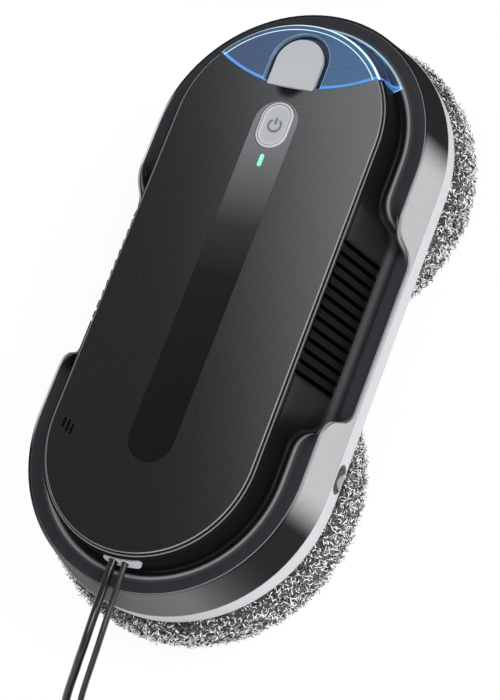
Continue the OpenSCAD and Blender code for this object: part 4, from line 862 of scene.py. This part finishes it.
def make_button_finish():
    """Silver, darker inside the dish, with a thin dark line of painted shade in the groove where the dish
    begins.
    """
    finish = Finish("button_silver", (0.42, 0.425, 0.435), 0.5, Specular_IOR_Level=0.4)
    x, y, clouds = finish.axis("X"), finish.axis("Y") - BUTTON_Y, finish.noise(0.03, 3)
    beside = (y.absolute() - BUTTON_HALF).high(0)
    reach = (x * x + beside * beside) ** 0.5
    silver = finish.blend((0.39, 0.395, 0.405), (0.45, 0.455, 0.465), clouds)
    silver = finish.blend(silver, (0.33, 0.335, 0.345), 1 - reach.between(4.5 * MM, 6.4 * MM))
    # Painted shade: a thin dark line in the groove at the dish's edge.
    line = stripe(reach, 6.45 * MM, 6.72 * MM, 0.05 * MM)
    finish.feed("Base Color", finish.blend(silver, (0.05, 0.05, 0.052), line))
    return finish.bump(finish.noise(0.0003, 2), 0.00002)


button_silver = make_button_finish()


def make_button():
    """From below: the flange under the lid, the side, the rounded rim and the dish."""
    bm = bmesh.new()
    half, rim, top, rounding = BUTTON_HALF, BUTTON_R, BUTTON_Z, 0.5 * MM
    flange_r, flange_low, flange_high = rim + 1.6 * MM, 69.0 * MM, 69.7 * MM
    rings = [(half, flange_r, flange_low), (half, flange_r, flange_high), (half, rim, flange_high),
             (half, rim, top - rounding)]
    rings += [(half, rim - rounding * (1 - math.cos(a)), top - rounding * (1 - math.sin(a)))
              for a in (0.4, 0.8, 1.2, 1.57)]
    rings += [(half, rim - 1.1 * MM, top)]
    dish_r, dish_top, depth = rim - 1.3 * MM, top - 0.15 * MM, 0.6 * MM
    rings += [(half * (1 - s * 0.5), dish_r * (1 - s), dish_top - depth * (1 - (1 - s) ** 2))
              for s in (0, 0.15, 0.3, 0.5, 0.7, 0.88)]
    stack(bm, rings, (0, BUTTON_Y))
    return finish_object("power_button_cap", bm, [button_silver], "button", 30)


def make_icon():
    """Flat ribbons along a broken ring and a stroke, extruded down into the dish."""
    bm = bmesh.new()
    ring, half_width, z = 3.0 * MM, 0.34 * MM, TOP_Z - 0.12 * MM
    angles = [math.radians(38 + 284 * k / 32) for k in range(33)]
    broken_ring = [Vector((ring * math.sin(a), BUTTON_Y + ring * math.cos(a), z)) for a in angles]
    stroke = [Vector((0, BUTTON_Y + 0.6 * MM, z)), Vector((0, BUTTON_Y + 3.7 * MM, z))]
    for path in (broken_ring, stroke):
        sides = []
        for i, p in enumerate(path):
            along = (path[min(i + 1, len(path) - 1)] - path[max(i - 1, 0)]).normalized()
            side = along.cross(Vector((0, 0, 1))) * half_width
            sides.append((bm.verts.new(p - side), bm.verts.new(p + side)))
        for (a, b), (c, d) in zip(sides, sides[1:]):
            bm.faces.new((a, b, d, c))
    extrude(bm, bm.faces[:], -0.6 * MM)
    return finish_object("power_icon", bm, [icon_grey], "button")


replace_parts(make_button(), "power_button")
make_icon()

# %% [markdown]
# ## Water tank
# The tank is clear blue plastic over dark water. Its light is painted into its colour: its top is lighter to
# the right, its sides carry painted reflection streaks, and painted highlight lines along its rims also glow
# though it is no lamp. Its two edges are circles seen from above, so the distance from each circle tells the
# finish where to paint a highlight line: along the chamfer, a fainter one inside it, a blue one beside the
# lid, one round the cap's pocket, and one at the foot, with painted shade in the channel round the cap.
# TAB_Y and TAB_R are the middle and the radius of the cap's round end.

# %% Tank finish
TAB_Y, TAB_R = 106.3 * MM, 11.4 * MM


def make_tank_finish():
    finish = Finish("tank_blue", (0.05, 0.1, 0.2), 0.3, Coat_Weight=0.15, Coat_Roughness=0.15,
                    Specular_IOR_Level=0.35, Emission_Strength=0.5)
    x, y, z = [finish.axis(name) for name in "XYZ"]
    outer = COVER_R - (x * x + (y - COVER_HALF) * (y - COVER_HALF)) ** 0.5
    lid = TANK_ARC_R - (x * x + (y - TANK_ARC_Y) * (y - TANK_ARC_Y)) ** 0.5
    ahead = (y - TAB_Y).high(0)
    round_tab = (x * x + ahead * ahead) ** 0.5 - TAB_R
    top = z.between(TOP_Z - 0.3 * MM, TOP_Z - 0.1 * MM)
    clouds = finish.noise(0.010, 3, 0.6, (0.6, 1, 1))
    deep = (0.010, 0.036, 0.095)
    # Painted light: the top is lighter to the right and darker to the left.
    tone = finish.blend(deep, (0.036, 0.095, 0.185), x.between(-40 * MM, 40 * MM))
    tone = finish.blend(tone, deep, clouds.between(0.50, 0.80) * 0.6)
    # Painted shade in the channel round the cap.
    shade = stripe(round_tab, 1.2 * MM, 2.9 * MM, 0.5 * MM) * 0.7
    tone = finish.blend(tone, (0.016, 0.036, 0.085), shade)
    # The sides are dark navy with painted reflection streaks.
    streaks = finish.noise(0.006, 3, 0.6, (0.4, 0.4, 2.2))
    side_painted_streaks = finish.blend((0.004, 0.012, 0.045), (0.05, 0.20, 0.50), streaks.between(0.54, 0.74))
    base = finish.blend(side_painted_streaks, tone, top)
    # Painted highlight lines: blue beside the lid, pale along the chamfer, inside it, round the pocket and
    # at the foot.
    blue = stripe(lid, -0.3 * MM, 1.3 * MM, 0.2 * MM)
    chamfer = stripe(outer, -1.15 * MM, -0.15 * MM) * z.between(LIP_Z, LIP_Z + 0.3 * MM)
    inner = stripe(outer, 1.7 * MM, 2.1 * MM) * top * 0.75
    pocket = stripe(round_tab, 2.9 * MM, 3.25 * MM, 0.1 * MM) * 0.2
    foot = stripe(z, 57.0 * MM, 57.9 * MM, 0.3 * MM) * 0.5
    white = chamfer.high(inner).high(pocket).high(foot)
    base = finish.blend(base, (0.06, 0.20, 0.50), blue * 0.9)
    finish.feed("Base Color", finish.blend(base, (0.55, 0.80, 0.90), white))
    # The highlight lines also glow, a painted glow, though the tank is no lamp.
    blue_glow = blue * (0.4 + 0.6 * clouds.between(0.35, 0.6))
    white_glow = white * (0.5 + 0.5 * streaks.between(0.4, 0.6))
    glow = finish.blend((0, 0, 0), (0.04, 0.18, 0.45), blue_glow)
    finish.feed("Emission Color", finish.blend(glow, (0.50, 0.85, 1.0), white_glow))
    return finish.bump(clouds, 0.00015)


finish_node("water_tank", make_tank_finish())
print("tank finished")

# %% [markdown]
# A smooth grey cap lies on the filler plug and opens with it. It is round towards the tank's end and has a
# straight lip that stands over the lid's scoop.

# %% Cap of the filler plug
def make_tab_cap():
    bm = bmesh.new()
    edge, radius, corner = 93.9 * MM, TAB_R + 0.05 * MM, 0.6 * MM
    around = [math.pi * k / 40 for k in range(41)]
    outline = [(radius * math.cos(a), TAB_Y + radius * math.sin(a)) for a in around]
    for side, angles in ((-1, (180, 210, 240, 270)), (1, (270, 300, 330, 360))):
        outline += [(side * (radius - corner) + corner * math.cos(math.radians(a)),
                     edge + corner + corner * math.sin(math.radians(a))) for a in angles]
    prism(bm, outline, 71.0 * MM, TOP_Z + 0.25 * MM)
    crown = [e for e in bm.edges if all(v.co.z > TOP_Z for v in e.verts)]
    bmesh.ops.bevel(bm, geom=crown, offset=0.35 * MM, offset_type="OFFSET", affect="EDGES", segments=3,
                    profile=0.5, material=-1)
    return finish_object("filler_cap", bm, [silicone], "plug", 30)


make_tab_cap()

# %% [markdown]
# ## Fibre mops
# Each pad is a ring of thick pile: curled microfibre strands in white, grey and near black. The ring under
# the pile is its outline turned round by a spin. The outline's points are (radius, height) in millimetres.

# %% Pad core
PAD_PROFILE = [
    (30.5, 1), (30, 2.5), (30, 20), (66.3, 20.5), (66.3, 24.6), (67.5, 25), (69.4, 24.8), (71.2, 23),
    (72.2, 20), (72.8, 15), (72.8, 9), (72.4, 5.5), (70.5, 2.8), (67, 1), (62, 0.4), (50, 0.4), (34, 0.4),
]


def make_fleece():
    # The core is near black with dark grey curls; it shows in the gaps of the pile as painted shade deep
    # between the strands.
    finish = Finish("fleece", (0.2, 0.2, 0.2), 0.95, Sheen_Weight=0.4)
    curls = finish.noise(0.0012, 3, 0.7)
    shade = curls.between(0.4, 0.7)
    finish.feed("Base Color", finish.blend((0.008, 0.008, 0.008), (0.14, 0.14, 0.14), shade))
    return finish.bump(curls, 0.0012)


fleece = make_fleece()


def make_pad(name, y, body):
    bm = bmesh.new()
    verts = [bm.verts.new((r * MM, y, z * MM)) for r, z in PAD_PROFILE]
    edges = [bm.edges.new((a, b)) for a, b in zip(verts, verts[1:] + verts[:1])]
    bmesh.ops.spin(bm, geom=verts + edges, cent=(0, y, 0), axis=(0, 0, 1), angle=2 * math.pi, steps=96,
                   use_merge=True)
    pad = finish_object(name, bm, [fleece], body, 60)
    return pad


# %% [markdown]
# The pile is a few bent strands, copied over the pad's outside thousands of times with their own lean and
# tone. Each copy is painted darker towards its root, as painted shade deep in the pile, and no fibre goes
# below the glass.

# %% Pile
STRAND_STEPS = 6
SHAPES = 24
TONES = (0.35, 0.7, 0.85, 0.95, 1, 1)
COUNT = 17000


def strand(rng, bend, length, thick):
    """One curled strand as rings of three points, from its root at the origin."""
    rings, p, heading = [], Vector(), Vector((0, 0, 1))
    curl = Matrix.Rotation(bend, 3, Vector((rng.uniform(-1, 1), rng.uniform(-1, 1), 0.3)).normalized())
    for k in range(STRAND_STEPS + 1):
        side = heading.orthogonal().normalized()
        other = heading.cross(side)
        width = thick * (1 - 0.3 * (k / STRAND_STEPS) ** 3)
        rings.append([p + width * (math.cos(a) * side + math.sin(a) * other) for a in (0, 2.09, 4.19)])
        p = p + heading * (length / STRAND_STEPS)
        heading = curl @ heading
    return rings


def pile_places(rng, y, count):
    """Points and outward directions spread over the pad's outside by area."""
    outer = [(r * MM, z * MM) for r, z in PAD_PROFILE[4:] + PAD_PROFILE[:3]]
    spans = []
    for (r0, z0), (r1, z1) in zip(outer, outer[1:]):
        spans.append((math.hypot(r1 - r0, z1 - z0) * (r0 + r1), r0, z0, r1, z1))
    total = sum(span[0] for span in spans)
    for area, r0, z0, r1, z1 in spans:
        out = Vector((z1 - z0, 0, r0 - r1)).normalized() * -1
        for _ in range(round(count * area / total)):
            t, a = rng.random(), rng.uniform(0, 2 * math.pi)
            r, z = r0 + (r1 - r0) * t, z0 + (z1 - z0) * t
            turn = Matrix.Rotation(a, 3, "Z")
            yield turn @ Vector((r, 0, z)) + Vector((0, y, 0)), turn @ out


def make_pile_finish():
    finish = Finish("pile", (0.4, 0.4, 0.4), 0.8, Specular_IOR_Level=0.3)
    tone = finish.add("ShaderNodeAttribute", {"attribute_name": "tone"}, out="Fac")
    tones = [(0.0, (0.002, 0.002, 0.002)), (0.35, (0.02, 0.02, 0.02)), (0.6, (0.16, 0.16, 0.16)),
             (0.8, (0.50, 0.50, 0.51)), (1.0, (0.92, 0.92, 0.92))]
    finish.feed("Base Color", finish.ramp(tones, tone))
    return finish.bump(finish.noise(0.0003, 2), 0.0001)


def make_pile(name, y, body, seed):
    rng = random.Random(seed)
    root_depth, lowest = 0.3 * MM, 0.05 * MM
    shapes = [strand(rng, bend=rng.uniform(0.3, 0.7), length=rng.uniform(2.8, 4.2) * MM,
                     thick=rng.uniform(0.22, 0.32) * MM) for _ in range(SHAPES)]
    verts, faces, tones = [], [], []
    for place, out in pile_places(rng, y, COUNT):
        lean = Vector((rng.uniform(-1, 1), rng.uniform(-1, 1), rng.uniform(-1, 1))) * 0.8
        turn = (out + lean).normalized().to_track_quat("Z", "Y").to_matrix()
        turn = turn @ Matrix.Rotation(rng.uniform(0, 6.3), 3, "Z")
        shape, tone, base = rng.choice(shapes), rng.choice(TONES), len(verts)
        for k, ring in enumerate(shape):
            for p in ring:
                q = place - out * root_depth + turn @ p
                q.z = max(q.z, lowest)
                verts.append(q)
                # Painted shade: the rings near the root are darker, deep in the pile.
                tones.append(tone * (0.2 + 0.8 * min(1, k / 3)))
        for k in range(len(shape) - 1):
            for j in range(3):
                a, b = base + 3 * k + j, base + 3 * k + (j + 1) % 3
                faces.append((a, b, b + 3, a + 3))
        end = base + 3 * (len(shape) - 1)
        faces.append((end, end + 1, end + 2))
    mesh = bpy.data.meshes.new(name)
    mesh.from_pydata(verts, [], faces)
    mesh.attributes.new("tone", "FLOAT", "POINT").data.foreach_set("value", tones)
    mesh.shade_smooth()
    mesh.materials.append(pile_finish.material)
    made = add_object(name, mesh)
    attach(made, body)
    print(name, len(faces), "faces")


pile_finish = make_pile_finish()
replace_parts(make_pad("mop_core_front", MOP_Y, "mop_front"), "mop_pad_front")
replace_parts(make_pad("mop_core_rear", -MOP_Y, "mop_rear"), "mop_pad_rear")
make_pile("mop_pile_front", MOP_Y, "mop_front", seed=4)
make_pile("mop_pile_rear", -MOP_Y, "mop_rear", seed=9)

# %% [markdown]
# ## Floor and light
# A white floor, an even pale world and four soft lamps. Where the camera sees the floor, or a surface
# mirrors it, it is mostly plain white and keeps a faint shadow of the object.

# %% Floor
def make_floor():
    bm = bmesh.new()
    bmesh.ops.create_grid(bm, x_segments=2, y_segments=2, size=4)
    bmesh.ops.translate(bm, vec=(0, 0, -0.2 * MM), verts=bm.verts)
    floor = loose_object("floor", bm)
    finish = Finish("floor_white", (0.9, 0.9, 0.9), 0.9)
    clouds = finish.noise(0.5, 2)
    finish.feed("Base Color", finish.blend((0.90, 0.90, 0.90), (0.93, 0.93, 0.93), clouds))
    shine = finish.add("ShaderNodeEmission", {}, {"Color": (1, 1, 1, 1), "Strength": 1.0})
    path = finish.tree.nodes.new("ShaderNodeLightPath")
    camera, glossy, through = [Value(finish, path.outputs[f"Is {kind} Ray"])
                               for kind in ("Camera", "Glossy", "Transmission")]
    share = camera.high(glossy).high(through) * 0.92
    plain = Value(finish, finish.shader.outputs[0])
    mix = finish.add("ShaderNodeMixShader", {}, {0: share, 1: plain, 2: shine})
    finish.tree.links.new(mix.socket, finish.tree.nodes["Material Output"].inputs["Surface"])
    floor.data.materials.append(finish.material)


make_floor()
print("floor ready")

# %% World
LAMPS = [("key", (1.3, 0.5, 1.3), (1.0, 1.0), 26), ("fill", (-1.3, 0.7, 1.1), (0.9, 0.9), 10),
         ("side", (1.2, -0.9, 0.7), (1.2, 0.8), 9), ("rear", (0.2, -1.5, 0.7), (0.8, 0.5), 8)]


def make_world():
    """A pale bluish light from all around, which the camera sees as plain white."""
    world = bpy.data.worlds.new("studio")
    bpy.context.scene.world = world
    world.use_nodes = True
    tree = world.node_tree
    back, out = tree.nodes["Background"], tree.nodes["World Output"]
    back.inputs["Color"].default_value = (0.9, 0.93, 1.0, 1)
    back.inputs["Strength"].default_value = 0.55
    seen = tree.nodes.new("ShaderNodeBackground")
    seen.inputs["Color"].default_value = (1, 1, 1, 1)
    path, mix = tree.nodes.new("ShaderNodeLightPath"), tree.nodes.new("ShaderNodeMixShader")
    tree.links.new(path.outputs["Is Camera Ray"], mix.inputs[0])
    tree.links.new(back.outputs[0], mix.inputs[1])
    tree.links.new(seen.outputs[0], mix.inputs[2])
    tree.links.new(mix.outputs[0], out.inputs["Surface"])


def make_lamp(name, place, size, power):
    """A soft square lamp that points at the middle of the robot."""
    data = bpy.data.lights.new(name, "AREA")
    data.shape, data.size, data.size_y, data.energy = "RECTANGLE", size[0], size[1], power
    made = add_object(name, data)
    heading = Vector((0, 0, 40 * MM)) - Vector(place)
    turn = heading.to_track_quat("-Z", "Y").to_matrix().to_4x4()
    made.matrix_world = Matrix.Translation(place) @ turn


make_world()
for facts in LAMPS:
    make_lamp(*facts)
bpy.context.scene.view_settings.view_transform = "Standard"
print("studio ready")
